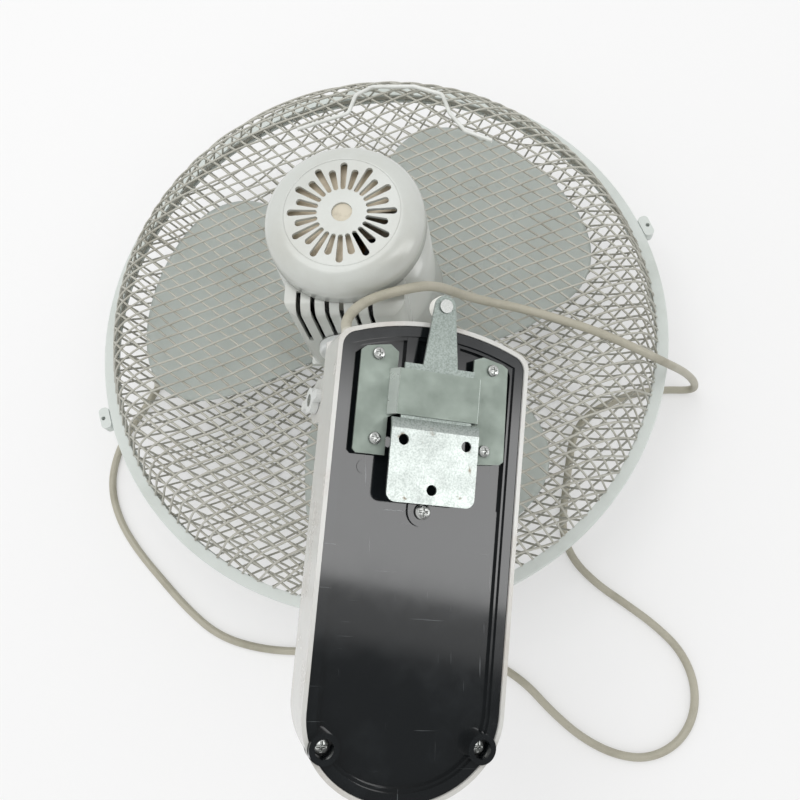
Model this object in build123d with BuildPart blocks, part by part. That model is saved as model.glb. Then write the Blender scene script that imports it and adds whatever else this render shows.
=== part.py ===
"""Wall fan with a swinging head, stored lying face down on its front guard.

Millimetres. +Z is up and is the back of the head, +Y is the head's own top, and the
origin is on the floor under the middle of the head. Three frames are used:
the head frame, the neck frame, turned by the swing, and the base frame, turned by the
swing and then by the tilt.
"""
from build123d import *
from math import cos, hypot, pi, radians, sin, tan
import os

os.makedirs("parts", exist_ok=True)


def save(piece, name):
    piece.part.label = name
    export_step(piece.part, f"parts/{name}.step")


# ---- Driving dimensions ----
# guards
band_radius = 220.0          # outside of the clamp band that joins the two guards
band_height = 11.0
band_wall = 2.2
band_flange = 6.4
rim_height = 75.0            # parting plane of the guards above the floor
sheet = 1.8                  # thickness of the guard wire
net_wire = 2.2               # width of a net wire seen from the front
net_long = 52.0              # long diagonal of a net cell
net_short = 30.0             # short diagonal of a net cell
net_turn = -5.0
net_least = 25.0             # smallest cell left open at an edge, square millimetres
front_bend = 85.0
front_slope = 55.0
rear_depth = 62.0
rear_bend = 40.0
rear_slope = 68.0
rim_play = 0.2               # between the guards' flanges and their parting plane
badge_radius = 46.0
badge_lip = 12.0             # how far the badge overlaps the guard
badge_height = 7.0
ring_radius = 64.0           # steel ring that carries the rear guard
ring_sheet = 1.6
handle_wire = 1.5
# motor housing
cap_height = 264.0           # flat rear face of the motor housing above the floor
cap_flat_radius = 36.5
cap_shoulder_radius = 46.4
cap_shoulder_drop = 23.0
cap_waist_radius = 50.0
cap_waist_height = 185.0
housing_radius = 54.0        # at the joint with the front cover
housing_joint = 150.0        # height of that joint
housing_wall = 2.4
gear_half_width = 36.0
gear_drop = 54.0             # underside of the gear compartment below the motor axis
gear_back = 242.0            # height of its rear face
gear_round = 8.0
cap_hole = 6.2
cap_slots = 24
cap_slot_in = 14.7
cap_slot_long = 32.7
cap_slot_short = 28.5
cap_slot_wide = 4.3
cap_slot_narrow = 2.9
gear_slots = 6
gear_slot_pitch = 8.7
gear_slot_first = -27.6
gear_slot_width = 2.8
gear_slot_bottom = 195.0
gear_slot_top = -40.4
# motor
boss_radius = 21.5           # threaded boss on the motor front that takes the guard nut
boss_bore = 12.4
boss_end = 116.0
nut_radius = 34.0
nut_height = 16.0
stator_radius = 42.0
stator_bottom = 166.0
stator_height = 30.0
stator_slots = 12
rotor_radius = 22.0
air_gap = 0.4
winding_height = 7.0
bell_plate = 3.0
bell_gap = 11.0              # from the stator's end to the bell's plate
bell_rim = 6.0
bearing_radius = 7.5
bearing_length = 11.0
shaft_radius = 4.0
shaft_front = 70.0
running = 0.05               # radial clearance of a shaft in its bush
fit = 0.1                    # radial clearance of a screw or a seated piece
screw_radius = 1.7
swing_motor_radius = 13.0
swing_motor_length = 17.0
swing_crank_radius = 9.0
saddle_length = 14.0
# blades
blade_count = 3
blade_turn = 42.5
blade_tip = 184.5
blade_thickness = 2.2
blade_height = 92.0          # middle of the blades above the floor
blade_root_pitch = 17.0      # slope of a blade across its width, degrees
blade_tip_pitch = 9.0
blade_camber = 7.0
hub_radius = 44.0
hub_front = 78.0
hub_depth = 34.0
hub_wall = 2.6
hub_ribs = 6
hub_boss = 9.0
spinner_radius = 15.0
# neck
swing_height = 184.3         # swing axis above the floor
pivot_drop = 95.0            # tilt axis below the motor axis
swing_rest = 26.4            # how far the head is turned from straight ahead as stored
tilt_rest = 9.8              # how far it looks down
turntable_gap = 0.6
pin_radius = 7.0
turntable_radius = 24.0
turntable_height = 6.0
column_radius = 13.0
knuckle_radius = 14.0
knuckle_half_width = 17.0
tilt_bolt_radius = 4.0
# base
pivot_reach = 138.6          # tilt axis in front of the back of the base
pivot_below = 10.0           # tilt axis below the upper bracket screws
base_half_width = 51.5
base_top = 19.5
base_shoulder = 8.5
base_corner = 10.0
base_straight = 170.0        # from the upper bracket screws down to the end of the straight sides
base_end = 44.0
base_depth = 50.0
base_wall = 2.2
base_edge_round = 13.0
stem_root = (50.0, 46.0)
stem_tip = (50.0, 32.0)
stem_wall = 3.0
ear_thickness = 7.6
ear_gap = 0.3
cover_gap = 0.2
cover_thickness = 6.0
cover_inset = 1.0
cover_border = 5.0
cover_recess = 4.0
post_radius = 7.3
post_height = 3.5
post_bore = 4.6
post_u = 39.8
post_v = -185.6
boss_v = -74.4
pillar_radius = 4.5
# bracket and wall plate
zinc = 1.2
bracket_play = 0.2
upper_screw_u = 30.9
lower_screw_u = 29.1
lower_screw_v = -41.5
channel_half_width = 21.5
channel_top = -6.5
channel_bottom = -29.0
channel_rise = 8.2           # outer face of the channel above the cover's floor
plate_sheet = 1.5
plate_half_width = 23.0
plate_bottom = -71.0
plate_bend = -35.5
plate_jog = 5.0
tongue_half_width = 18.6
tongue_top = -3.2
arm_half_width = 9.2
arm_tip_v = 27.5
arm_tip_radius = 5.6
wall_hole_radius = 2.65
wall_hole_pitch = 33.0
wall_hole_v = -41.0
wall_hole_low_v = -64.0
roller_radius = 6.0
roller_length = 6.0
rivet_radius = 2.0
# controls
button_names = ("power", "speed", "swing", "timer", "mode")
button_pitch = 15.0
button_v = -140.0
button_width = 9.0
button_length = 14.0
button_round = 2.5
button_proud = 1.8
button_travel = 1.5
board_width = 84.0
board_length = 44.0
board_thickness = 1.6
board_reach = 13.4           # board's front face behind the casing's front
switch_height = 5.0
plunger_height = 1.0
lens_v = -122.0
window_v = -104.0
# cord
cord_radius = 3.0
gland_length = 22.0

# ---- Frames ----
pivot = Vector(0, -pivot_drop, swing_height)
u_axis = Vector(cos(radians(swing_rest)), 0, -sin(radians(swing_rest)))
neck_out = Vector(sin(radians(swing_rest)), 0, cos(radians(swing_rest)))
v_axis = Vector(0, 1, 0) * cos(radians(tilt_rest)) + neck_out * sin(radians(tilt_rest))
w_axis = neck_out * cos(radians(tilt_rest)) - Vector(0, 1, 0) * sin(radians(tilt_rest))
neck = Plane(origin=pivot, x_dir=u_axis, z_dir=neck_out)
base = Plane(origin=pivot + v_axis * pivot_below + w_axis * pivot_reach, x_dir=u_axis, z_dir=w_axis)
base_axis = Axis(base.origin, w_axis)


def base_point(u, v, w):
    return base.origin + u_axis * u + v_axis * v + w_axis * w


def base_side(u):
    """Plane across the base at width u: its x is v and its y is w."""
    return Plane(origin=base_point(u, 0, 0), x_dir=v_axis, z_dir=u_axis)


# ---- Guards: a dished sheet of revolution pierced by the cells of the net ----
rim_radius = band_radius - band_wall - band_flange
rear_flat = rim_height + rear_depth
flange_edge = band_radius - band_wall - 0.4


def dish(inner, bend, slope, face, rim_z, way):
    """Section of a guard: flat middle, bend, straight side and rim flange, on XZ.

    face is the height of the outer flat face, way is 1 where the dish opens upward.
    """
    s = radians(slope)
    middle = face + way * sheet / 2
    depth = abs(rim_z - middle)
    flat = rim_radius - bend * sin(s) - (depth - bend * (1 - cos(s))) / tan(s)
    centre_z = middle + way * bend

    def track(offset_out):
        r = bend + offset_out
        start = (flat, centre_z - way * r)
        half = (flat + r * sin(s / 2), centre_z - way * r * cos(s / 2))
        end = (flat + r * sin(s), centre_z - way * r * cos(s))
        top = (end[0] + (rim_z - end[1]) * way / tan(s), rim_z)
        return start, half, end, top

    outer = track(sheet / 2)
    under = track(-sheet / 2)
    flange_z = rim_z - way * sheet / 2
    with BuildSketch(Plane.XZ) as section:
        with BuildLine():
            Line((inner, outer[0][1]), outer[0])
            ThreePointArc(*outer[:3])
            Line(outer[2], outer[3])
            Line(outer[3], under[3])
            Line(under[3], under[2])
            ThreePointArc(under[2], under[1], under[0])
            Line(under[0], (inner, under[0][1]))
            Line((inner, under[0][1]), (inner, outer[0][1]))
        make_face()
        with Locations(((under[3][0] + flange_edge) / 2, flange_z)):
            Rectangle(flange_edge - under[3][0], sheet)
    return section.sketch


def net_cells(inner, outer):
    """Openings of the net between two radii, as one flat sketch."""
    a, b = net_long / 2, net_short / 2
    shrink = 1 - net_wire / 2 * hypot(a, b) / (a * b)
    turn = radians(net_turn)
    reach = int(outer / b) + 2
    places = []
    for i in range(-reach, reach + 1):
        for j in range(-reach, reach + 1):
            x = i * a * cos(turn) - j * b * sin(turn)
            y = i * a * sin(turn) + j * b * cos(turn)
            if (i + j) % 2 == 0 and inner - b / 2 < hypot(x, y) < outer + b / 2:
                places.append(Location((x, y), net_turn))
    with BuildSketch() as cells:
        with Locations(*places):
            Polygon((a * shrink, 0), (0, b * shrink), (-a * shrink, 0), (0, -b * shrink))
        Circle(outer, mode=Mode.INTERSECT)
        Circle(inner, mode=Mode.SUBTRACT)
    return Sketch([cell for cell in cells.sketch.faces() if cell.area > net_least])


net_edge = rim_radius - 2.0
with BuildPart() as front_guard:
    add(dish(badge_radius - badge_lip, front_bend, front_slope, 0, rim_height - rim_play, 1))
    revolve(axis=Axis.Z)
    with BuildSketch():
        add(net_cells(badge_radius + 3, net_edge))
    extrude(amount=rim_height, mode=Mode.SUBTRACT)
save(front_guard, "front_guard")

with BuildPart() as rear_guard:
    add(dish(ring_radius - 6, rear_bend, rear_slope, rear_flat, rim_height + rim_play, -1))
    revolve(axis=Axis.Z)
    with BuildSketch(Plane.XY.offset(rim_height)):
        add(net_cells(ring_radius, net_edge))
    extrude(amount=rear_depth, mode=Mode.SUBTRACT)
save(rear_guard, "rear_guard")

badge_face = badge_radius - badge_lip - fit
with BuildPart() as front_badge:
    with BuildSketch(Plane.XZ):
        with BuildLine():
            ThreePointArc((-badge_radius, sheet), (0, badge_height), (badge_radius, sheet))
            Line((badge_radius, sheet), (-badge_radius, sheet))
        make_face()
        with Locations((0, sheet / 2)):
            Rectangle(2 * badge_face, sheet)
        with Locations((-badge_radius, 0)):
            Rectangle(2 * badge_radius, 3 * badge_height, mode=Mode.SUBTRACT)
    revolve(axis=Axis.Z)
save(front_badge, "front_badge")

with BuildPart() as guard_band:
    with BuildSketch(Plane.XZ):
        with Locations((band_radius - (band_wall + band_flange) / 2, rim_height)):
            Rectangle(band_wall + band_flange, band_height)
        with Locations((band_radius - band_wall - band_flange / 2, rim_height)):
            Rectangle(band_flange, band_height - 2 * band_wall, mode=Mode.SUBTRACT)
    revolve(axis=Axis.Z)
    chamfer(guard_band.edges().filter_by(GeomType.CIRCLE).group_by(SortBy.RADIUS)[-1], 0.8)
save(guard_band, "guard_band")

clip_angles = (22.0, 199.0)
with BuildPart() as band_clips:
    for angle in clip_angles:
        with BuildSketch(Plane.XY.rotated((0, 0, angle)).offset(rim_height - 5)):
            with Locations((band_radius + 4.3, 0)):
                RectangleRounded(8, 17, 3.2)
            with Locations((band_radius + 5.6, 0)):
                Circle(1.6, mode=Mode.SUBTRACT)
            Circle(band_radius + fit, mode=Mode.SUBTRACT)
        extrude(amount=10)
save(band_clips, "band_clips")

handle_points = [(-61, 141), (-22, 154), (-17, 170), (-4, 177), (28, 176), (50, 168),
                 (56, 151), (68, 135), (88, 126)]
with BuildPart() as carry_handle:
    with BuildLine(Plane.XY.offset(rear_flat + handle_wire + 0.2)) as handle_path:
        FilletPolyline(*handle_points, radius=5)
    with BuildSketch(handle_path.line ^ 0):
        Circle(handle_wire)
    sweep()
save(carry_handle, "carry_handle")

# ---- Front of the motor: steel ring, nut and moulded cover ----
with BuildPart() as guard_mount_ring:
    step = ring_sheet + 0.2
    with BuildSketch(Plane.XZ):
        with BuildLine():
            Polyline((boss_radius + 0.3, rear_flat), (ring_radius - 8.5, rear_flat),
                     (ring_radius - 6.3, rear_flat - step), (ring_radius, rear_flat - step),
                     (ring_radius, rear_flat - step - ring_sheet), (ring_radius - 7.1, rear_flat - step - ring_sheet),
                     (ring_radius - 9.3, rear_flat - ring_sheet), (boss_radius + 0.3, rear_flat - ring_sheet),
                     close=True)
        make_face()
    revolve(axis=Axis.Z)
    with BuildSketch(Plane.XY.offset(rear_flat - ring_sheet)):
        with PolarLocations(38, 4, start_angle=45):
            Circle(3)
    extrude(amount=ring_sheet, mode=Mode.SUBTRACT)
save(guard_mount_ring, "guard_mount_ring")

nut_top = rear_flat - ring_sheet
with BuildPart() as guard_nut:
    with BuildSketch(Plane.XY.offset(nut_top - nut_height)):
        Circle(nut_radius - 3)
        with PolarLocations(nut_radius - 4, 8):
            Circle(4)
        Circle(boss_radius + 0.2, mode=Mode.SUBTRACT)
    extrude(amount=nut_height)
save(guard_nut, "guard_nut")

front_floor = rear_flat + housing_wall
bell_front = stator_bottom - bell_gap - bell_plate
with BuildPart() as motor_front_cover:
    with BuildSketch(Plane.XY.offset(rear_flat)):
        Circle(housing_radius)
    extrude(amount=housing_joint - rear_flat)
    fillet(motor_front_cover.edges().sort_by(Axis.Z)[0], 3)
    with BuildSketch(Plane.XY.offset(housing_joint - 5)):
        with Locations((0, -gear_drop / 2)):
            Rectangle(2 * gear_half_width, gear_drop)
    extrude(amount=5)
    with BuildSketch(Plane.XY.offset(front_floor)):
        Circle(housing_radius - housing_wall)
    extrude(amount=housing_joint - front_floor, mode=Mode.SUBTRACT)
    with BuildSketch(Plane.XY.offset(front_floor)):
        with PolarLocations(44, 4, start_angle=45):
            Circle(4)
    extrude(amount=bell_front - front_floor)
    with BuildSketch(Plane.XY.offset(boss_end)):
        Circle(boss_radius)
    extrude(amount=rear_flat - boss_end)
    with BuildSketch(Plane.XY.offset(boss_end)):
        Circle(boss_bore)
    extrude(amount=front_floor - boss_end, mode=Mode.SUBTRACT)
save(motor_front_cover, "motor_front_cover")

# ---- Motor housing: cap with radial slots and a gear compartment below ----
def tapered_slot(start, end, narrow, wide):
    """Radial slot on the X axis with round ends, wider at its outer end."""
    with BuildSketch() as slot:
        a, b = start + narrow / 2, end - wide / 2
        Polygon((a, -narrow / 2), (b, -wide / 2), (b, wide / 2), (a, narrow / 2), align=None)
        with Locations((a, 0)):
            Circle(narrow / 2)
        with Locations((b, 0)):
            Circle(wide / 2)
    return slot.sketch


def cap_section(wall):
    """Half section of the turned part of the housing, drawn in by the wall."""
    shoulder = cap_height - cap_shoulder_drop
    with BuildSketch(Plane.XZ) as section:
        with BuildLine():
            Polyline((0, housing_joint), (housing_radius - wall, housing_joint),
                     (cap_waist_radius - wall, cap_waist_height), (cap_shoulder_radius - wall, shoulder),
                     (cap_flat_radius - wall * 0.8, cap_height - wall), (0, cap_height - wall), close=True)
        make_face()
        corner = (cap_flat_radius - wall * 0.8, 0, cap_height - wall)
        fillet(section.sketch.vertices().sort_by_distance(corner)[0], 4)
        fillet(section.sketch.vertices().sort_by_distance((cap_shoulder_radius - wall, 0, shoulder))[0], 9)
    return section.sketch


with BuildPart() as housing_inside:
    with BuildSketch(Plane.XY.offset(housing_joint)):
        with Locations((0, (housing_wall - gear_drop) / 2)):
            Rectangle(2 * (gear_half_width - housing_wall), gear_drop - housing_wall)
    extrude(amount=gear_back - housing_wall - housing_joint)
    add(cap_section(housing_wall))
    revolve(axis=Axis.Z)

with BuildPart() as motor_housing:
    with BuildSketch(Plane.XY.offset(housing_joint)):
        with Locations((0, -gear_drop / 2)):
            Rectangle(2 * gear_half_width, gear_drop)
    extrude(amount=gear_back - housing_joint)
    corners = motor_housing.edges().filter_by(Axis.Z).group_by(Axis.Y)[0]
    fillet(corners + motor_housing.faces().sort_by(Axis.Y)[0].edges().group_by(Axis.Z)[-1], gear_round)
    add(cap_section(0))
    revolve(axis=Axis.Z)
    add(housing_inside.part, mode=Mode.SUBTRACT)
    with BuildSketch(Plane.XY.offset(cap_height)):
        Circle(cap_hole)
        for k in range(cap_slots):
            reach_out = cap_slot_short if k % 2 else cap_slot_long
            add(tapered_slot(cap_slot_in, reach_out, cap_slot_narrow, cap_slot_wide), rotation=k * 360 / cap_slots)
    extrude(amount=-2 * housing_wall, mode=Mode.SUBTRACT)
    with BuildSketch(Plane.XY.offset(gear_slot_bottom)):
        for k in range(gear_slots):
            with Locations((gear_slot_first + k * gear_slot_pitch, (gear_slot_top - gear_drop - 1) / 2)):
                Rectangle(gear_slot_width, gear_slot_top + gear_drop + 1)
    extrude(amount=gear_back - gear_slot_bottom, mode=Mode.SUBTRACT)
    with BuildSketch(Plane.XZ.offset(gear_drop)):
        with Locations((0, swing_height)):
            Circle(pin_radius + 1)
    extrude(amount=-2 * housing_wall, mode=Mode.SUBTRACT)
save(motor_housing, "motor_housing")

with BuildPart() as cap_plug:
    with BuildSketch(Plane.XY.offset(cap_height - housing_wall - 1.4)):
        Circle(cap_hole + 2)
    extrude(amount=1.4)
    with BuildSketch(Plane.XY.offset(cap_height - housing_wall)):
        Circle(cap_hole - fit)
    extrude(amount=1)
save(cap_plug, "cap_plug")

# ---- Motor ----
stator_top = stator_bottom + stator_height
bell_back = stator_top + bell_gap
screw_circle = stator_radius - bell_rim / 2
gap_radius = rotor_radius + air_gap
swing_drive_z = gear_back - housing_wall - swing_motor_radius - 0.3
swing_motor_face = gear_drop - housing_wall - 14.0


def motor_screw_holes():
    with PolarLocations(screw_circle, 4, start_angle=45):
        Circle(screw_radius + fit, mode=Mode.SUBTRACT)


with BuildPart() as front_end_bell:
    with BuildSketch(Plane.XY.offset(bell_front)):
        Circle(housing_radius - housing_wall - 4)
        motor_screw_holes()
    extrude(amount=bell_plate)
    with BuildSketch(Plane.XY.offset(bell_front + bell_plate)):
        Circle(stator_radius)
        Circle(stator_radius - bell_rim, mode=Mode.SUBTRACT)
        motor_screw_holes()
    extrude(amount=bell_gap)
    with BuildSketch(Plane.XY.offset(boss_end + 3)):
        Circle(boss_bore - 0.3)
    extrude(amount=bell_front - boss_end - 3)
    with BuildSketch(Plane.XY.offset(boss_end + 3)):
        Circle(shaft_radius + 1)
    extrude(amount=bell_front + bell_plate - boss_end - 3, mode=Mode.SUBTRACT)
    with BuildSketch(Plane.XY.offset(boss_end + 3)):
        Circle(bearing_radius)
    extrude(amount=bearing_length, mode=Mode.SUBTRACT)
    # ledge below the stator that holds the swing pin
    with BuildSketch(Plane.XY.offset(bell_front)):
        with Locations((0, -(stator_radius + 1 + gear_drop - housing_wall - 0.3) / 2)):
            Rectangle(26, gear_drop - housing_wall - stator_radius - 1.3)
    extrude(amount=swing_height + pin_radius + 5 - bell_front)
    with BuildSketch(Plane.XY.offset(bell_front)):
        with Locations((0, -stator_radius)):
            Rectangle(26, 12)
        Circle(stator_radius - bell_rim, mode=Mode.SUBTRACT)
    extrude(amount=bell_plate)
    with BuildSketch(Plane.XZ.offset(stator_radius + 1)):
        with Locations((0, swing_height)):
            Circle(pin_radius)
    extrude(amount=gear_drop, mode=Mode.SUBTRACT)
save(front_end_bell, "front_end_bell")

with BuildPart() as rear_end_bell:
    with BuildSketch(Plane.XY.offset(stator_top)):
        Circle(stator_radius)
        Circle(stator_radius - bell_rim, mode=Mode.SUBTRACT)
        motor_screw_holes()
    extrude(amount=bell_gap)
    with BuildSketch(Plane.XY.offset(bell_back)):
        Circle(stator_radius)
        motor_screw_holes()
    extrude(amount=bell_plate)
    with BuildSketch(Plane.XY.offset(bell_back - 3)):
        Circle(boss_bore - 0.3)
    extrude(amount=bearing_length + 0.5)
    with BuildSketch(Plane.XY.offset(bell_back - 3)):
        Circle(bearing_radius)
    extrude(amount=bearing_length + 0.5, mode=Mode.SUBTRACT)
    # saddle that carries the swing motor
    with BuildSketch(Plane.XY.offset(bell_back + bell_plate)):
        with Locations((0, saddle_length / 2 - swing_motor_face + 1.5)):
            Rectangle(swing_motor_radius * 1.5, saddle_length)
    extrude(amount=swing_drive_z - swing_motor_radius * 0.6 - bell_back - bell_plate)
    with BuildSketch(Plane.XZ.offset(swing_motor_face)):
        with Locations((0, swing_drive_z)):
            Circle(swing_motor_radius)
    extrude(amount=-swing_motor_length, mode=Mode.SUBTRACT)
save(rear_end_bell, "rear_end_bell")

bearing_starts = {"front_bearing": boss_end + 3, "rear_bearing": bell_back - 3}
for name, start in bearing_starts.items():
    with BuildPart() as bearing:
        with BuildSketch(Plane.XY.offset(start)):
            Circle(bearing_radius)
            Circle(shaft_radius + running, mode=Mode.SUBTRACT)
        extrude(amount=bearing_length)
    save(bearing, name)

with BuildPart() as stator_core:
    with BuildSketch(Plane.XY.offset(stator_bottom)):
        Circle(stator_radius)
        Circle(gap_radius, mode=Mode.SUBTRACT)
        motor_screw_holes()
        with PolarLocations(gap_radius + 6, stator_slots):
            SlotOverall(9, 4.5, mode=Mode.SUBTRACT)
    extrude(amount=stator_height)
save(stator_core, "stator_core")

with BuildPart() as stator_windings:
    for start in (stator_bottom - winding_height, stator_top):
        with BuildSketch(Plane.XY.offset(start)):
            Circle(stator_radius - bell_rim - 0.5)
            Circle(gap_radius + 1.5, mode=Mode.SUBTRACT)
        extrude(amount=winding_height)
    ends = stator_windings.edges().group_by(Axis.Z)
    fillet(ends[0] + ends[-1], 2)
save(stator_windings, "stator_windings")

with BuildPart() as motor_screws:
    with BuildSketch(Plane.XY.offset(bell_front)):
        with PolarLocations(screw_circle, 4, start_angle=45):
            Circle(screw_radius)
    extrude(amount=bell_back + bell_plate - bell_front)
    with BuildSketch(Plane.XY.offset(bell_back + bell_plate)):
        with PolarLocations(screw_circle, 4, start_angle=45):
            RegularPolygon(3.2, 6)
    extrude(amount=2.4)
save(motor_screws, "motor_screws")

# ---- Swing drive: small geared motor above the pin, its crank, and the pin itself ----
with BuildPart() as swing_motor:
    with BuildSketch(Plane.XZ.offset(swing_motor_face)):
        with Locations((0, swing_drive_z)):
            Circle(swing_motor_radius)
            with Locations((-swing_motor_radius - 2, 0), (swing_motor_radius + 2, 0)):
                RectangleRounded(8, 7, 2)
    extrude(amount=-1.2)
    with BuildSketch(Plane.XZ.offset(swing_motor_face - 1.2)):
        with Locations((0, swing_drive_z)):
            Circle(swing_motor_radius)
    extrude(amount=1.2 - swing_motor_length)
    with BuildSketch(Plane.XZ.offset(swing_motor_face)):
        with Locations((0, swing_drive_z)):
            Circle(2.5)
    extrude(amount=6)
save(swing_motor, "swing_motor")

with BuildPart() as swing_crank:
    with BuildSketch(Plane.XZ.offset(swing_motor_face + 0.6)):
        with Locations((0, swing_drive_z)):
            Circle(swing_crank_radius)
            Circle(2.5 + running, mode=Mode.SUBTRACT)
    extrude(amount=5)
    with BuildSketch(Plane.XZ.offset(swing_motor_face + 5.6)):
        with Locations((swing_crank_radius - 3, swing_drive_z)):
            Circle(2)
    extrude(amount=4)
save(swing_crank, "swing_crank")

turntable_top = gear_drop + turntable_gap
pin_end = gear_drop + 26.0
with BuildPart() as swing_pin:
    with BuildSketch(Plane.XZ.offset(stator_radius + 1.2)):
        with Locations((0, swing_height)):
            Circle(pin_radius)
    extrude(amount=pin_end - stator_radius - 1.2)
    chamfer(swing_pin.edges().group_by(Axis.Y)[0], 1)
save(swing_pin, "swing_pin")

# ---- Blades: twisted petals cut from a cambered slab, round a ribbed hub ----
def petal_band(pitch, half_width):
    """Cross-section of the slab across a petal: a cambered strip at the given pitch."""
    rise = half_width * tan(radians(pitch))
    low = (-half_width, -rise)
    high = (half_width, rise)
    t = blade_thickness
    with BuildSketch() as band:
        with BuildLine():
            ThreePointArc(low, (0, blade_camber), high)
            Line(high, (high[0], high[1] + t))
            ThreePointArc((high[0], high[1] + t), (0, blade_camber + t), (low[0], low[1] + t))
            Line((low[0], low[1] + t), low)
        make_face()
    return band.sketch


def polar(radius, angle):
    return (radius * cos(radians(angle)), radius * sin(radians(angle)))


slab_start = hub_radius - hub_wall * 0.6
slab_plane = Plane(origin=(0, 0, blade_height - blade_camber), x_dir=(0, 1, 0), z_dir=(1, 0, 0))
with BuildPart() as petal:
    with BuildSketch(slab_plane.offset(10)):
        add(petal_band(blade_root_pitch, 120))
    with BuildSketch(slab_plane.offset(blade_tip + 10)):
        add(petal_band(blade_tip_pitch, 120))
    loft()
    with BuildSketch(Plane.XY.offset(blade_height - 60)):
        tip_start, tip_end, heel = polar(blade_tip, 43), polar(blade_tip, -27), polar(118, -51)
        with BuildLine():
            Line(polar(slab_start, 40), tip_start)
            ThreePointArc(tip_start, polar(blade_tip, 8), tip_end)
            Polyline(tip_end, heel, polar(slab_start, -52))
            Line(polar(slab_start, -52), polar(slab_start, 40))
        petal_face = make_face()
        for corner, radius in ((tip_start, 22), (tip_end, 46), (heel, 34)):
            fillet(petal_face.vertices().sort_by_distance(corner)[0], radius)
        Circle(slab_start, mode=Mode.SUBTRACT)
    extrude(amount=120, mode=Mode.INTERSECT)

with BuildPart() as fan_blade:
    with BuildSketch(Plane.XY.offset(hub_front)):
        Circle(hub_radius)
    extrude(amount=hub_depth)
    fillet(fan_blade.edges().sort_by(Axis.Z)[0], 6)
    with BuildSketch(Plane.XY.offset(hub_front + hub_wall)):
        Circle(hub_radius - hub_wall)
    extrude(amount=hub_depth - hub_wall, mode=Mode.SUBTRACT)
    with BuildSketch(Plane.XY.offset(hub_front + hub_wall)):
        Circle(hub_boss)
        with PolarLocations((hub_radius - hub_wall / 2) / 2, hub_ribs):
            Rectangle(hub_radius - hub_wall / 2, 1.6)
    extrude(amount=hub_depth - 8)
    for k in range(blade_count):
        add(petal.part, rotation=(0, 0, blade_turn + k * 360 / blade_count))
    with BuildSketch(Plane.XY.offset(hub_front)):
        Circle(shaft_radius + running)
    extrude(amount=hub_depth, mode=Mode.SUBTRACT)
save(fan_blade, "fan_blade")

with BuildPart() as blade_nut:
    with BuildSketch(Plane.XY.offset(shaft_front - 4)):
        Circle(spinner_radius)
        with PolarLocations(spinner_radius + 0.6, 12):
            Circle(1.6, mode=Mode.SUBTRACT)
    extrude(amount=hub_front - shaft_front + 4)
    with BuildSketch(Plane.XY.offset(shaft_front - 1)):
        Circle(shaft_radius + running)
    extrude(amount=hub_front - shaft_front + 1, mode=Mode.SUBTRACT)
save(blade_nut, "blade_nut")

shaft_back = bell_back - 3 + bearing_length + 3
with BuildPart() as motor_shaft:
    with BuildSketch(Plane.XY.offset(shaft_front)):
        Circle(shaft_radius)
    extrude(amount=shaft_back - shaft_front)
    chamfer(motor_shaft.edges().filter_by(GeomType.CIRCLE), 0.6)
    with BuildSketch(Plane.YZ.offset(-6.5)):
        with Locations((0, hub_front + hub_wall + hub_depth - 8 + 1.6)):
            Circle(1.5)
    extrude(amount=13)
save(motor_shaft, "motor_shaft")

with BuildPart() as rotor:
    with BuildSketch(Plane.XY.offset(stator_bottom - 1)):
        Circle(rotor_radius)
        Circle(shaft_radius + 0.02, mode=Mode.SUBTRACT)
    extrude(amount=stator_height + 2)
    for start, way in ((stator_bottom - 1, -1), (stator_top + 1, 1)):
        with BuildSketch(Plane.XY.offset(start)):
            Circle(rotor_radius - 1)
            Circle(rotor_radius - 6, mode=Mode.SUBTRACT)
        extrude(amount=way * 3)
save(rotor, "rotor")

# ---- Neck: turntable on the swing pin and a knuckle on the tilt bolt ----
neck_top = pivot_drop - turntable_top
across_pivot = Plane(origin=pivot, x_dir=neck_out, z_dir=u_axis)


def neck_level(height):
    """Plane square to the swing axis, at a height above the tilt bolt."""
    return Plane(origin=pivot + Vector(0, height, 0), x_dir=u_axis, z_dir=(0, 1, 0))


with BuildPart() as neck_block:
    with BuildSketch(neck_level(neck_top - turntable_height)):
        Circle(turntable_radius)
    extrude(amount=turntable_height)
    fillet(neck_block.edges().group_by(Axis.Y)[0], 2)
    with BuildSketch(neck_level(0)):
        Circle(column_radius)
    extrude(amount=neck_top - turntable_height)
    with BuildSketch(across_pivot):
        Circle(knuckle_radius)
    extrude(amount=knuckle_half_width, both=True)
    with BuildSketch(across_pivot):
        Circle(tilt_bolt_radius + running)
    extrude(amount=knuckle_half_width, both=True, mode=Mode.SUBTRACT)
    with BuildSketch(neck_level(neck_top)):
        Circle(pin_radius + running)
    extrude(amount=turntable_top - pin_end - 0.5, mode=Mode.SUBTRACT)
save(neck_block, "neck_block")

ear_outer = knuckle_half_width + ear_gap + ear_thickness
with BuildPart() as tilt_bolt:
    with BuildSketch(across_pivot.offset(-ear_outer - 5)):
        Circle(tilt_bolt_radius)
    extrude(amount=2 * ear_outer + 10)
    with BuildSketch(across_pivot.offset(ear_outer + 0.3)):
        RegularPolygon(7.5, 6)
    extrude(amount=4.7)
save(tilt_bolt, "tilt_bolt")

with BuildPart() as tilt_nut:
    with BuildSketch(across_pivot.offset(-ear_outer - 0.3)):
        Circle(8)
        with PolarLocations(11, 2):
            SlotOverall(14, 6)
        Circle(tilt_bolt_radius + running, mode=Mode.SUBTRACT)
    extrude(amount=-4.7)
save(tilt_nut, "tilt_nut")

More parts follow.
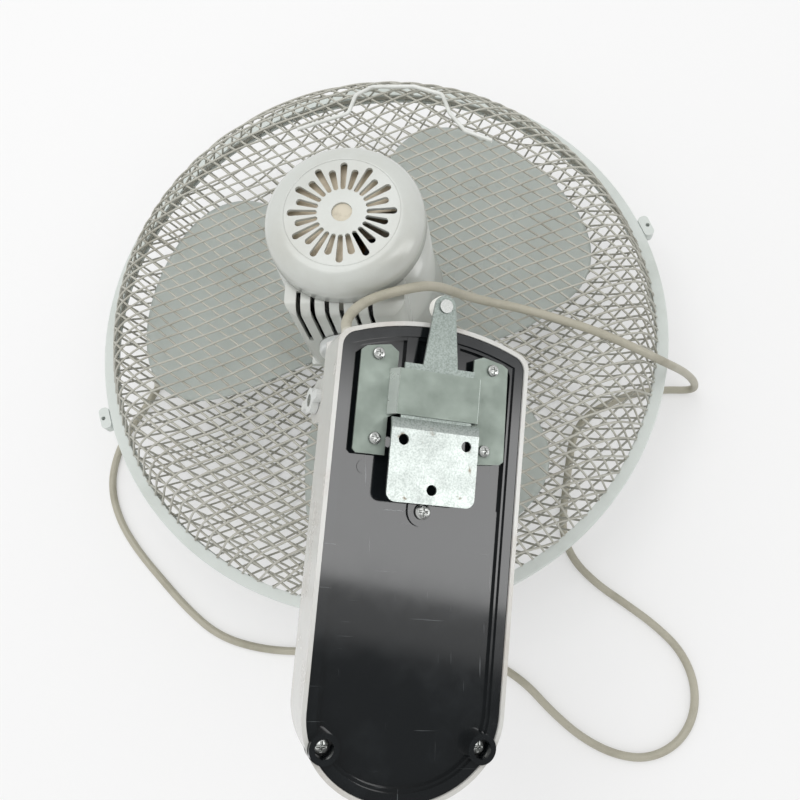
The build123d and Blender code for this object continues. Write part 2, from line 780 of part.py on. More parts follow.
# ---- Base: casing with its stem, cover and screws ----
cover_out = -cover_inset
cover_floor = cover_out - cover_recess
cover_in = cover_out - cover_thickness
front_inside = base_wall - base_depth
pillars = [(side * upper_screw_u, 0) for side in (-1, 1)]
pillars += [(side * lower_screw_u, lower_screw_v) for side in (-1, 1)]
posts = [(side * post_u, post_v) for side in (-1, 1)]
cover_pillars = [(0, boss_v)] + posts
button_places = [((k - (len(button_names) - 1) / 2) * button_pitch, button_v) for k in range(len(button_names))]
board_corners = [(i * (board_width / 2 - 5), button_v + j * (board_length / 2 - 5)) for i in (-1, 1) for j in (-1, 1)]
upper_pillar_start = -31.0
gland_root = (-31.0, 7.0, -44.0)
gland_rise = 0.6
gland_fall = -0.8


def base_outline(grow):
    """Outline of the base, grown outward: arched top, straight sides, elliptical bottom."""
    half = base_half_width + grow
    rise = base_top - base_shoulder
    arch = (base_half_width ** 2 + rise ** 2) / (2 * rise)
    shoulder = base_top - arch + ((arch + grow) ** 2 - half ** 2) ** 0.5
    with BuildSketch() as shape:
        with BuildLine():
            ThreePointArc((-half, shoulder), (0, base_top + grow), (half, shoulder))
            Line((half, shoulder), (half, -base_straight))
            EllipticalCenterArc((0, -base_straight), half, base_end + grow, start_angle=180, arc_size=180)
            Line((-half, -base_straight), (-half, shoulder))
        make_face()
        shoulders = shape.sketch.vertices().group_by(Axis.Y)[-1]
        fillet(shoulders, max(base_corner + grow, 1))
    return shape.sketch


def base_block(grow, start, end, edge_round):
    """Solid of the base outline between two depths, with its front edge rounded."""
    with BuildPart() as block:
        with BuildSketch(base.offset(start)):
            add(base_outline(grow))
        extrude(amount=end - start)
        fillet(block.faces().sort_by(base_axis)[0].edges(), edge_round)
    return block.part


stem_end = knuckle_radius + 5 - pivot_reach
stem_start = base_edge_round / 2 - base_depth


def stem_loft(shrink, end):
    """Tapering stem between the base and its ears, drawn in by the wall."""
    with BuildPart() as stem:
        for depth, (width, height) in ((stem_start, stem_root), (end, stem_tip)):
            with BuildSketch(base.offset(depth)):
                with Locations((0, -pivot_below)):
                    RectangleRounded(width - 2 * shrink, height - 2 * shrink, 12)
        loft()
    return stem.part


gland_plane = Plane(origin=base_point(*gland_root), x_dir=u_axis, z_dir=v_axis * gland_rise + w_axis * gland_fall)
casing_solid = base_block(0, -base_depth, 0, base_edge_round)
casing_cavity = base_block(-base_wall, front_inside, cover_in - 3, base_edge_round - base_wall)
stem_solid = stem_loft(0, stem_end)
stem_cavity = stem_loft(stem_wall, stem_end + 2 * stem_wall)
with BuildPart() as base_casing:
    add(casing_solid)
    add(stem_solid)
    add(casing_cavity, mode=Mode.SUBTRACT)
    add(stem_cavity, mode=Mode.SUBTRACT)
    for side in (-1, 1):
        with BuildSketch(base_side(side * (knuckle_half_width + ear_gap))):
            with Locations((-pivot_below, -pivot_reach)):
                Circle(knuckle_radius)
            with Locations((-pivot_below, (stem_end + 1 - pivot_reach) / 2)):
                Rectangle(2 * knuckle_radius, stem_end + 1 + pivot_reach)
        extrude(amount=side * ear_thickness)
    with BuildSketch(base_side(-ear_outer)):
        with Locations((-pivot_below, -pivot_reach)):
            Circle(tilt_bolt_radius + running)
    extrude(amount=2 * ear_outer, mode=Mode.SUBTRACT)
    # ledge that the cover rests on
    with BuildSketch(base.offset(cover_in - 3)):
        add(base_outline(-base_wall - 2.5))
    extrude(amount=3, mode=Mode.SUBTRACT)
    with BuildSketch(base.offset(cover_in)):
        add(base_outline(-base_wall))
        with Locations(*posts):
            Circle(post_radius + cover_gap)
    extrude(amount=-cover_in, mode=Mode.SUBTRACT)
    # screw pillars and board pillars on the inside of the front
    with BuildSketch(base.offset(front_inside - 0.1)):
        with Locations(*pillars[2:], *cover_pillars):
            Circle(pillar_radius)
    extrude(amount=cover_in - front_inside + 0.1)
    # the two upper pillars hang from the top wall, clear of the cord gland
    with BuildSketch(base.offset(upper_pillar_start)):
        with Locations(*pillars[:2]):
            Circle(pillar_radius)
        with Locations(*[(side * upper_screw_u, base_shoulder / 2 + 2) for side in (-1, 1)]):
            Rectangle(2.4, base_shoulder + 4)
    extrude(amount=cover_in - upper_pillar_start)
    with BuildSketch(base.offset(cover_in)):
        with Locations(*pillars, *cover_pillars):
            Circle(screw_radius + fit)
    extrude(amount=-14, mode=Mode.SUBTRACT)
    with BuildSketch(base.offset(front_inside - 0.1)):
        with Locations(*board_corners):
            Circle(3)
    extrude(amount=board_reach - base_wall + 0.1)
    # openings for the buttons, the lens and the receiver window
    with BuildSketch(base.offset(-base_depth)):
        with Locations(*button_places):
            RectangleRounded(button_width + 2 * cover_gap, button_length + 2 * cover_gap, button_round)
        with Locations((0, lens_v)):
            RectangleRounded(60 + 2 * fit, 4 + 2 * fit, 2)
        with Locations((0, window_v)):
            Circle(6 + fit)
    extrude(amount=base_wall, mode=Mode.SUBTRACT)
    with BuildSketch(gland_plane):
        Circle(5 + fit)
    extrude(amount=12, both=True, mode=Mode.SUBTRACT)
save(base_casing, "base_casing")

cover_edge = -base_wall - cover_gap
floor_step_v = -71.0
with BuildPart() as back_cover:
    with BuildSketch(base.offset(cover_in)):
        add(base_outline(cover_edge))
    extrude(amount=cover_thickness)
    with BuildSketch(base.offset(cover_out)):
        add(base_outline(cover_edge - cover_border))
    extrude(amount=-1.4, mode=Mode.SUBTRACT)
    with BuildSketch(base.offset(cover_out)):
        add(base_outline(cover_edge - cover_border - 1.8))
    extrude(amount=-cover_recess, mode=Mode.SUBTRACT)
    # lower part of the floor stands a little higher
    with BuildSketch(base.offset(cover_floor)):
        add(base_outline(cover_edge - cover_border - 1.8))
        with Locations((0, floor_step_v + 60)):
            Rectangle(3 * base_half_width, 120, mode=Mode.SUBTRACT)
    extrude(amount=0.6)
    with BuildSketch(base.offset(cover_floor)):
        for left, right in ((-15.7, -9.9), (10.7, 12.9)):
            with Locations(((left + right) / 2, 4)):
                Rectangle(right - left, 18)
    extrude(amount=cover_recess - 1.2)
    with BuildSketch(base.offset(cover_floor)):
        with Locations((-31.6, -55.3), (30.3, -54.4)):
            Circle(3.5)
    extrude(amount=0.4)
    with BuildSketch(base.offset(cover_floor)):
        with Locations((0, boss_v)):
            Circle(7.5)
        with Locations((0, (boss_v + floor_step_v) / 2)):
            Rectangle(15, floor_step_v - boss_v)
    extrude(amount=2)
    with BuildSketch(base.offset(cover_in)):
        with Locations(*posts):
            Circle(post_radius)
    extrude(amount=cover_thickness + post_height)
    with BuildSketch(base.offset(cover_floor)):
        with Locations(*posts):
            Circle(post_bore)
    extrude(amount=cover_recess + post_height + cover_inset, mode=Mode.SUBTRACT)
    with BuildSketch(base.offset(cover_in)):
        with Locations(*pillars, *cover_pillars):
            Circle(screw_radius + fit)
    extrude(amount=cover_thickness, mode=Mode.SUBTRACT)
save(back_cover, "back_cover")


def screws(places, seats, head_radius, head_height, name):
    """Pan-head screws whose heads sit at the given depths."""
    with BuildPart() as group:
        for place, depth in zip(places, seats):
            with BuildSketch(base.offset(depth)):
                with Locations(place):
                    Circle(head_radius)
            extrude(amount=head_height)
            with BuildSketch(base.offset(depth)):
                with Locations(place):
                    Circle(screw_radius)
            extrude(amount=-12)
    save(group, name)


screws(cover_pillars, (cover_floor + 2, cover_floor, cover_floor), 4.0, 2.2, "cover_screws")
screws(pillars, [cover_floor + zinc] * 4, 3.0, 2.0, "bracket_screws")

# ---- Sheet-metal bracket on the cover and the wall plate that slides in it ----
channel_out = cover_floor + channel_rise
channel_in = channel_out - zinc
left_flange = [(-39.7, 0.8), (-36.9, 3.2), (-24.9, 5.5), (-20.4, 2.3), (-20.4, -29.0), (-23.4, -30.5),
               (-23.3, -49.2), (-38.0, -49.3), (-39.7, -47.6)]
right_flange = [(20.4, 4.2), (25.5, 6.2), (36.4, 3.9), (39.4, 2.0), (40.6, -45.6), (38.6, -47.5),
                (26.2, -48.7), (23.4, -46.0), (23.4, -30.5), (20.4, -29.0)]
with BuildPart() as bracket:
    with BuildSketch(base.offset(cover_floor)):
        Polygon(*left_flange, align=None)
        Polygon(*right_flange, align=None)
        with Locations(*pillars):
            Circle(screw_radius + fit, mode=Mode.SUBTRACT)
    extrude(amount=zinc)
    with BuildSketch(Plane(origin=base_point(0, channel_bottom, 0), x_dir=u_axis, z_dir=v_axis)):
        with Locations((0, -(cover_floor + channel_out) / 2)):
            Rectangle(2 * channel_half_width, channel_rise)
        with Locations((0, -(cover_floor + channel_in) / 2)):
            Rectangle(2 * (channel_half_width - zinc), channel_rise - zinc, mode=Mode.SUBTRACT)
    extrude(amount=channel_top - channel_bottom)
save(bracket, "bracket")

tongue_out = channel_in - bracket_play
plate_out = channel_out
arm_back = tongue_out - plate_sheet
with BuildPart() as wall_plate:
    with BuildSketch(base_side(0)):
        Polygon((plate_bottom, plate_out - plate_sheet), (plate_bottom, plate_out), (plate_bend, plate_out),
                (plate_bend + plate_jog, tongue_out), (plate_bend + plate_jog, arm_back),
                (plate_bend, plate_out - plate_sheet), align=None)
    extrude(amount=plate_half_width, both=True)
    fillet(wall_plate.edges().filter_by(base_axis).group_by(Axis(base.origin, v_axis))[0], 4.5)
    with BuildSketch(base.offset(arm_back)):
        with Locations((0, (plate_bend + plate_jog + tongue_top) / 2)):
            Rectangle(2 * tongue_half_width, tongue_top - plate_bend - plate_jog)
        Polygon((-arm_half_width, tongue_top - 0.5), (arm_half_width, tongue_top - 0.5),
                (arm_tip_radius, arm_tip_v), (-arm_tip_radius, arm_tip_v), align=None)
        with Locations((0, arm_tip_v)):
            Circle(arm_tip_radius)
            Circle(rivet_radius + fit, mode=Mode.SUBTRACT)
    extrude(amount=plate_sheet)
    with BuildSketch(base.offset(plate_out)):
        with Locations((-wall_hole_pitch / 2, wall_hole_v), (wall_hole_pitch / 2, wall_hole_v), (0, wall_hole_low_v)):
            Circle(wall_hole_radius)
    extrude(amount=-2 * plate_sheet, mode=Mode.SUBTRACT)
save(wall_plate, "wall_plate")

with BuildPart() as catch_roller:
    with BuildSketch(base.offset(arm_back)):
        with Locations((0, arm_tip_v)):
            Circle(roller_radius)
            Circle(rivet_radius + fit, mode=Mode.SUBTRACT)
    extrude(amount=-roller_length)
    chamfer(catch_roller.edges().filter_by(GeomType.CIRCLE).group_by(SortBy.RADIUS)[-1], 0.6)
save(catch_roller, "catch_roller")

with BuildPart() as catch_rivet:
    with BuildSketch(base.offset(arm_back - roller_length)):
        with Locations((0, arm_tip_v)):
            Circle(rivet_radius)
    extrude(amount=roller_length + plate_sheet)
    for depth, way in ((tongue_out, 1), (arm_back - roller_length, -1)):
        with BuildSketch(base.offset(depth)):
            with Locations((0, arm_tip_v)):
                Circle(3.4)
        extrude(amount=way * 1.2)
save(catch_rivet, "catch_rivet")

# ---- Controls behind the front of the base ----
board_front = board_reach - base_depth
with BuildPart() as circuit_board:
    with BuildSketch(base.offset(board_front)):
        with Locations((0, button_v)):
            RectangleRounded(board_width, board_length, 2)
    extrude(amount=board_thickness)
    with BuildSketch(base.offset(board_front + board_thickness)):
        with Locations((-24, button_v)):
            RectangleRounded(18, 15, 1)
        with Locations((4, button_v + 8), (4, button_v - 8)):
            Rectangle(22, 8)
        with Locations((30, button_v - 4)):
            Circle(5)
    extrude(amount=11)
save(circuit_board, "circuit_board")

with BuildPart() as key_switches:
    with BuildSketch(base.offset(board_front)):
        with Locations(*button_places):
            Rectangle(6, 6)
    extrude(amount=-switch_height)
    with BuildSketch(base.offset(board_front - switch_height)):
        with Locations(*button_places):
            Circle(1.7)
    extrude(amount=-plunger_height)
save(key_switches, "key_switches")

plunger_end = board_front - switch_height - plunger_height
for place, name in zip(button_places, button_names):
    with BuildPart() as button:
        with BuildSketch(base.offset(-base_depth - button_proud)):
            with Locations(place):
                RectangleRounded(button_width, button_length, button_round)
        extrude(amount=base_wall + button_proud + cover_gap)
        fillet(button.faces().sort_by(base_axis)[0].edges(), 0.7)
        with BuildSketch(base.offset(front_inside + cover_gap)):
            with Locations(place):
                RectangleRounded(button_width + 3, button_length + 3, button_round)
        extrude(amount=1.2)
        with BuildSketch(base.offset(front_inside + cover_gap + 1)):
            with Locations(place):
                Circle(2.2)
        extrude(amount=plunger_end - button_travel - 0.3 - front_inside - cover_gap - 1)
    save(button, f"button_{name}")

with BuildPart() as indicator_lens:
    with BuildSketch(base.offset(-base_depth - 0.3)):
        with Locations((0, lens_v)):
            RectangleRounded(60, 4, 1.8)
    extrude(amount=base_wall + 0.3)
    with BuildSketch(base.offset(front_inside)):
        with Locations((0, lens_v)):
            RectangleRounded(63, 6.4, 1.8)
    extrude(amount=1.2)
save(indicator_lens, "indicator_lens")

with BuildPart() as receiver_window:
    with BuildSketch(base.offset(-base_depth - 0.5)):
        with Locations((0, window_v)):
            Circle(6)
    extrude(amount=base_wall + 0.5)
    with BuildSketch(base.offset(front_inside)):
        with Locations((0, window_v)):
            Circle(8)
    extrude(amount=1.2)
save(receiver_window, "receiver_window")

with BuildPart() as run_capacitor:
    with BuildSketch(base.offset(front_inside)):
        with Locations((16, -58)):
            RectangleRounded(14, 34, 1.5)
    extrude(amount=22)
save(run_capacitor, "run_capacitor")

with BuildPart() as cord_gland:
    with BuildSketch(gland_plane.offset(-2.8)):
        Circle(7.5)
    extrude(amount=2)
    with BuildSketch(gland_plane.offset(-0.8)):
        Circle(5)
    extrude(amount=4.3)
    with BuildSketch(gland_plane.offset(3.5)):
        Circle(5)
    with BuildSketch(gland_plane.offset(gland_length)):
        Circle(cord_radius + 0.8)
    loft()
save(cord_gland, "cord_gland")

# ---- Mains lead: over the gear compartment, the rear guard and the floor ----
lead_points = [tuple(gland_plane.from_local_coords((0, 0, gland_length + way))) for way in (0, 10.8)]
lead_points += [(9, -58, 256.5), (20, -49, 252), (31, -44.5, 248.6)]
cord_points = [(31, -44.5, 248.6), (43.5, -39.4, 244.7), (54, -31, 226), (62, -25, 205), (72, -19.5, 183),
               (88, -15, 162), (109, -13, 146),
               (137, -20, 141.5), (164, -30, 140.5), (190, -37, 127), (211, -38, 104), (230, -34, 73),
               (243, -30.5, 44), (250, -28, 22), (252, -27.5, 9), (246, -27, 3.2), (233, -26.5, 3), (211, -28, 3),
               (188, -36, 3), (166, -48, 3), (154, -66, 3), (150, -90, 3), (146, -118, 3), (143, -143, 3),
               (150, -166, 3), (168, -185, 3), (190, -200, 3), (212, -216, 3), (230, -234, 3), (239, -257, 3),
               (237, -281, 3), (224, -301, 3), (202, -312, 3), (178, -310, 3), (154, -299, 3), (132, -281, 3),
               (112, -260, 3), (86, -245, 3), (52, -236, 3), (15, -234, 3), (-25, -238, 3), (-62, -243, 3),
               (-98, -241, 3), (-130, -232, 3), (-156, -213, 3), (-180, -190, 3), (-204, -166, 3),
               (-223, -141, 3), (-234, -113, 3), (-233, -86, 3), (-224, -61, 3), (-211, -41, 3), (-203, -24, 3)]


def cord_run(points, name):
    """Round lead along straight runs joined by tangent arcs; prints its radii and length."""
    vectors = [Vector(*point) for point in points]
    runs = [b - a for a, b in zip(vectors, vectors[1:])]
    radii = []
    for before, after in zip(runs, runs[1:]):
        turn = radians(before.get_angle(after))
        radii.append(0.45 * min(before.length, after.length) / tan(turn / 2))
    with BuildPart() as lead:
        with BuildLine() as path:
            FilletPolyline(*points, radius=radii)
        with BuildSketch(path.line ^ 0):
            Circle(cord_radius)
        sweep()
    save(lead, name)
    length = path.wire().length
    print(name, "radii", [round(radius) for radius in radii], "least", round(min(radii), 1), "runs",
          [round(run.length) for run in runs])
    print(name, "length", round(length, 1), "volume / section x length",
          round(lead.part.volume / (pi * cord_radius ** 2 * length), 4))


cord_run(lead_points, "cord_lead")
cord_run(cord_points, "power_cord")

# two-pin moulded plug on the end of the lead
plug_way = Vector(*cord_points[-1]) - Vector(*cord_points[-2])
plug_plane = Plane(origin=cord_points[-1], x_dir=plug_way.cross(Vector(0, 0, 1)), z_dir=plug_way)
plug_thickness = 13.0
plug_rise = plug_thickness / 2 - cord_radius
with BuildPart() as plug_body:
    with BuildSketch(plug_plane):
        Circle(cord_radius + 0.4)
    with BuildSketch(plug_plane.offset(12)):
        with Locations((0, -plug_rise)):
            RectangleRounded(16, 9, 3)
    loft()
    with BuildSketch(plug_plane.offset(12)):
        with Locations((0, -plug_rise)):
            RectangleRounded(22, plug_thickness, 4)
    with BuildSketch(plug_plane.offset(36)):
        with Locations((0, -plug_rise)):
            RectangleRounded(34, plug_thickness, 4)
    loft()
save(plug_body, "plug_body")

with BuildPart() as plug_pins:
    with BuildSketch(plug_plane.offset(36)):
        with Locations((-9.5, -plug_rise), (9.5, -plug_rise)):
            Circle(2)
    extrude(amount=19)
    fillet(plug_pins.faces().sort_by(Axis(plug_plane.origin, plug_plane.z_dir))[-2:].edges(), 1)
save(plug_pins, "plug_pins")
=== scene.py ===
"""Wall fan lying face down on its front guard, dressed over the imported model. Row frame, metres."""

import bmesh
import bpy
import numpy as np
from mathutils import Matrix, Vector


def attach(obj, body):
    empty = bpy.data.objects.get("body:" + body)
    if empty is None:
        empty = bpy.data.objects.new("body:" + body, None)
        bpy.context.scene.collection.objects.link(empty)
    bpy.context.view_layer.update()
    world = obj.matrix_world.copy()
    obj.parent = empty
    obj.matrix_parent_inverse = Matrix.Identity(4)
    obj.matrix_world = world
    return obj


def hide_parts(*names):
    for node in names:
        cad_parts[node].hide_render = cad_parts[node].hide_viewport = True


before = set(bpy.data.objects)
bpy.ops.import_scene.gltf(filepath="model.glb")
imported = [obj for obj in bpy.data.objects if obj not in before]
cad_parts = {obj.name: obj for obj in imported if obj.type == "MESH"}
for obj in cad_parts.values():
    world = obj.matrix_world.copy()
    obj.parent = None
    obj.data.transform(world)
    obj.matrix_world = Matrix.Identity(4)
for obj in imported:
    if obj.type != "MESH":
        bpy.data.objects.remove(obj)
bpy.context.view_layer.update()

# ---- Camera ----
# The picture was taken by hand from above the fan, a little to the right and on the base's side, so the
# base stands nearest and is drawn large. Lens and sensor are in millimetres, places in metres.
camera_lens = 40.5
camera_sensor = 36.0
camera_nearest = 0.01
camera_place = (0.0861, -0.2578, 0.7287)
camera_data = bpy.data.cameras.new("camera")
camera_data.lens = camera_lens
camera_data.sensor_width = camera_sensor
camera_data.clip_start = camera_nearest
camera = bpy.data.objects.new("camera", camera_data)
camera_right = Vector((0.995, 0.0282, -0.0954)).normalized()
camera_back = Vector((0.0994, -0.2919, 0.9513)).normalized()
camera_up = camera_back.cross(camera_right).normalized()
camera_right = camera_up.cross(camera_back)
camera_turn = Matrix((camera_right, camera_up, camera_back)).transposed()
camera.matrix_world = Matrix.Translation(camera_place) @ camera_turn.to_4x4()
bpy.context.scene.collection.objects.link(camera)
bpy.context.scene.camera = camera

# ---- Mains lead ----
# Round two-core lead in pale grey PVC, 6 mm thick. It leaves the rubber gland at the top of the base,
# crosses the motor and the rear guard, drops over the rim, and runs over the floor to a moulded plug under
# the guard's left side. Its points are listed in millimetres.
lead_route = [(8.09, -78.42, 270.60), (4.79, -70.57, 263.96), (9, -58, 256.5), (20, -49, 252),
              (31, -44.5, 248.6)]
cord_route = [(31, -44.5, 248.6), (43.5, -39.4, 244.7), (54, -31, 226), (62, -25, 205), (72, -19.5, 183),
              (88, -15, 162), (109, -13, 146), (137, -20, 141.5), (164, -30, 140.5), (190, -37, 127),
              (211, -38, 104), (230, -34, 73), (243, -30.5, 44), (250, -28, 22), (252, -27.5, 9),
              (246, -27, 3.2), (233, -26.5, 3), (211, -28, 3), (188, -36, 3), (166, -48, 3),
              (154, -66, 3), (150, -90, 3), (146, -118, 3), (143, -143, 3), (150, -166, 3),
              (168, -185, 3), (190, -200, 3), (212, -216, 3), (230, -234, 3), (239, -257, 3),
              (237, -281, 3), (224, -301, 3), (202, -312, 3), (178, -310, 3), (154, -299, 3),
              (132, -281, 3), (112, -260, 3), (86, -245, 3), (52, -236, 3), (15, -234, 3), (-25, -238, 3),
              (-62, -243, 3), (-98, -241, 3), (-130, -232, 3), (-156, -213, 3), (-180, -190, 3),
              (-204, -166, 3), (-223, -141, 3), (-234, -113, 3), (-233, -86, 3), (-224, -61, 3),
              (-211, -41, 3), (-203, -24, 3)]
lead_radius = 0.003


def lay_lead(name, route, node):
    """A quadratic spline with the route's points as its control points, swept by a round section."""
    curve = bpy.data.curves.new(name, "CURVE")
    curve.dimensions = "3D"
    spline = curve.splines.new("NURBS")
    spline.points.add(len(route) - 1)
    places = np.column_stack([np.array(route) / 1000, np.ones(len(route))])
    spline.points.foreach_set("co", places.astype(np.float32).ravel())
    spline.order_u = 3
    spline.use_endpoint_u = True
    spline.resolution_u = 8
    # The object's box counts the points' radius, so that is the lead's, and the bevel is a metre.
    spline.points.foreach_set("radius", np.full(len(route), lead_radius, dtype=np.float32))
    curve.bevel_depth = 1.0
    curve.bevel_resolution = 5
    curve.use_fill_caps = True
    piece = bpy.data.objects.new(name, curve)
    bpy.context.scene.collection.objects.link(piece)
    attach(piece, "head")
    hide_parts(node)
    return piece


short_lead = lay_lead("short_lead", lead_route, "cord_lead")
mains_lead = lay_lead("mains_lead", cord_route, "power_cord")


def linear(colour):
    """The linear colour, with alpha 1, of an sRGB hex colour."""
    channels = np.array([int(colour[i:i + 2], 16) for i in (1, 3, 5)]) / 255
    curved = np.where(channels <= 0.04045, channels / 12.92, ((channels + 0.055) / 1.055) ** 2.4)
    return (*curved.tolist(), 1.0)


def add_node(material, kind, inputs=None, **settings):
    """Adds a node with its settings. An input is given by name or place, as a value or as the socket it
    comes from. A Mix node of colours has them at places 6 and 7, and gives the mixture at place 2."""
    node = material.node_tree.nodes.new("ShaderNode" + kind)
    for name, value in settings.items():
        setattr(node, name, value)
    for name, value in (inputs or {}).items():
        if isinstance(value, bpy.types.NodeSocket):
            material.node_tree.links.new(value, node.inputs[name])
        else:
            node.inputs[name].default_value = value
    return node


def empty_material(name):
    """A new material whose tree is empty."""
    material = bpy.data.materials.new(name)
    material.use_nodes = True
    material.node_tree.nodes.clear()
    return material


def finish_surface(material, shader):
    """Adds the material's output and joins the shader to it."""
    add_node(material, "OutputMaterial", {"Surface": shader.outputs[0]})
    return material


def moulded(name, colour, soiled, soil=0.35, roughness=0.35, patch=0.05, grain=0.0009, relief=0.00002,
            ior=1.53, speck=0.0, coat=0.0):
    """Moulded plastic: a base colour with handling marks in patches, specks a millimetre apart, uneven
    gloss and a fine moulded grain. The patch, the grain and its relief are in metres."""
    material = empty_material(name)
    place = add_node(material, "TexCoord").outputs["Object"]
    cloud = add_node(material, "TexNoise", {"Vector": place, "Scale": 1 / patch, "Detail": 6.0,
                                            "Roughness": 0.62})
    soil_amount = add_node(material, "MapRange", {"Value": cloud.outputs[0], "From Min": 0.48,
                                                  "From Max": 0.78, "To Max": soil})
    tone = add_node(material, "Mix", {"Factor": soil_amount.outputs[0], 6: linear(colour), 7: linear(soiled)},
                    data_type="RGBA").outputs[2]
    if speck:
        dots = add_node(material, "TexNoise", {"Vector": place, "Scale": 900.0, "Detail": 2.0})
        dot_amount = add_node(material, "MapRange", {"Value": dots.outputs[0], "From Min": 0.66,
                                                     "From Max": 0.72, "To Max": speck})
        tone = add_node(material, "Mix", {"Factor": dot_amount.outputs[0], 6: tone, 7: linear(soiled)},
                        data_type="RGBA").outputs[2]
    gloss = add_node(material, "MapRange", {"Value": cloud.outputs[0], "From Min": 0.3, "From Max": 0.7,
                                            "To Min": roughness * 0.8, "To Max": roughness * 1.35})
    fine = add_node(material, "TexNoise", {"Vector": place, "Scale": 1 / grain, "Detail": 2.0})
    bump = add_node(material, "Bump", {"Height": fine.outputs[0], "Strength": 0.5, "Distance": relief})
    shader = add_node(material, "BsdfPrincipled", {"Base Color": tone, "Roughness": gloss.outputs[0],
                                                   "IOR": ior, "Normal": bump.outputs[0],
                                                   "Coat Weight": coat})
    return finish_surface(material, shader)


def dress(node, material):
    """Gives a CAD node its finish."""
    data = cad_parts[node].data
    data.materials.clear()
    data.materials.append(material)


# Soft PVC: satin, pale putty grey, with dark finger marks along its length.
lead_pvc = moulded("soft_pvc_putty", "#b0ac9c", "#837e6c", soil=0.6, roughness=0.42, patch=0.03, ior=1.52,
                   speck=0.35)
for piece in (short_lead, mains_lead):
    piece.data.materials.append(lead_pvc)
# The gland and the plug are moulded in a harder grade of the same PVC, so they are a little smoother.
gland_pvc = moulded("moulded_pvc_putty", "#c6c4b8", "#96917f", soil=0.4, roughness=0.36, patch=0.02)
dress("cord_gland", gland_pvc)
dress("plug_body", gland_pvc)


def plated(name, colour, dull, roughness=0.3, patch=0.02, grain=0.0012, relief=0.00001, metal=1.0,
           along=(1, 1, 1)):
    """Plated or turned metal: spangled tone and gloss in patches, stretched along the way it was worked.
    The patch, the grain and its relief are in metres."""
    material = empty_material(name)
    place = add_node(material, "TexCoord").outputs["Object"]
    stretched = add_node(material, "Mapping", {"Vector": place, "Scale": along}).outputs[0]
    cloud = add_node(material, "TexNoise", {"Vector": stretched, "Scale": 1 / patch, "Detail": 5.0,
                                            "Roughness": 0.6})
    tone = add_node(material, "Mix", {"Factor": cloud.outputs[0], 6: linear(colour), 7: linear(dull)},
                    data_type="RGBA")
    gloss = add_node(material, "MapRange", {"Value": cloud.outputs[0], "From Min": 0.3, "From Max": 0.7,
                                            "To Min": roughness * 0.75, "To Max": roughness * 1.4})
    fine = add_node(material, "TexNoise", {"Vector": stretched, "Scale": 1 / grain, "Detail": 3.0})
    bump = add_node(material, "Bump", {"Height": fine.outputs[0], "Strength": 0.6, "Distance": relief})
    shader = add_node(material, "BsdfPrincipled", {"Base Color": tone.outputs[2], "Metallic": metal,
                                                   "Roughness": gloss.outputs[0],
                                                   "Normal": bump.outputs[0]})
    return finish_surface(material, shader)


# Nickel on brass: bright, a little yellow, worn in fine lines.
dress("plug_pins", plated("nickelled_brass", "#d8d2bf", "#b5ab8e", roughness=0.2))

# ---- Guards ----
# Two dished nets of steel wire, 1.7 mm thick with its dip of pale grey plastic. Each is two families of
# wires pressed together where they cross, a little wavy, and is bent into a dish. The clamp band joins
# them at the rim.
net_pitch = 9.0
net_ways = (-38.0, 23.0)
net_wire_radius = 0.85
net_sink = 0.5
net_rim = 213.4
net_margin = 4.0
net_most = 40
net_steps = 36
# Each wave of the wires: its height, the length of a radian of it, and its shift in radians per millimetre
# from a wire to the next.
net_waves = ((0.7, 23.0, 0.7), (0.4, 9.1, 1.0))
wave_fade = 40.0
rim_ring_radius, rim_ring_shift = 1.5, 0.3
inner_ring_radius, inner_ring_shift = 1.1, 0.1
rear_inner, rear_face, rear_rim, rear_bend, rear_slope = 49.0, 136.1, 76.0, 40.0, 68.0
front_inner, front_face, front_rim, front_bend, front_slope = 40.0, 1.2, 74.0, 85.0, 55.0


def dish_height(radius, face, rim_height, bend, slope):
    """Height of a dish: level in the middle, an arc of the bend radius, then a straight side at the slope
    to the rim."""
    steep = np.radians(slope)
    way = np.sign(rim_height - face)
    depth = abs(rim_height - face)
    level = net_rim - bend * np.sin(steep) - (depth - bend * (1 - np.cos(steep))) / np.tan(steep)
    out = np.clip(radius - level, 0, bend * np.sin(steep))
    arc = bend - np.sqrt(bend ** 2 - out ** 2)
    side = np.maximum(radius - level - bend * np.sin(steep), 0) * np.tan(steep)
    return face + way * (arc + side)


def grid_quads(rows, columns, wrap=True):
    """Quads between neighbouring points of a grid, whose columns close into a ring unless wrap is off."""
    row = np.arange(rows - 1)[:, None] * columns
    here = np.arange(columns if wrap else columns - 1)[None, :]
    ahead = (here + 1) % columns
    quads = np.stack([row + here, row + ahead, row + columns + ahead, row + columns + here], axis=-1)
    return quads.reshape(-1, 4)


def tubes(paths, radius, sides=6):
    """Points and quads of round wires. The paths are wires x steps x 3, and each step gets a ring of
    points square to the path; the ends are closed."""
    along = np.gradient(paths, axis=1)
    along /= np.linalg.norm(along, axis=2, keepdims=True)
    level = np.cross(along, np.array([0.0, 0.0, 1.0]))
    level /= np.maximum(np.linalg.norm(level, axis=2, keepdims=True), 1e-9)
    upward = np.cross(level, along)
    around = np.arange(sides) * 2 * np.pi / sides
    rings = (paths[:, :, None] + radius * (level[:, :, None] * np.cos(around)[:, None]
                                           + upward[:, :, None] * np.sin(around)[:, None]))
    wires, steps = paths.shape[:2]
    body = grid_quads(steps, sides)
    first = np.array([[0, 3, 2, 1], [0, 5, 4, 3]])
    last = np.array([[0, 1, 2, 3], [0, 3, 4, 5]]) + (steps - 1) * sides
    one = np.concatenate([body, first, last])
    quads = (one[None] + (np.arange(wires) * steps * sides)[:, None, None]).reshape(-1, 4)
    return rings.reshape(-1, 3), quads


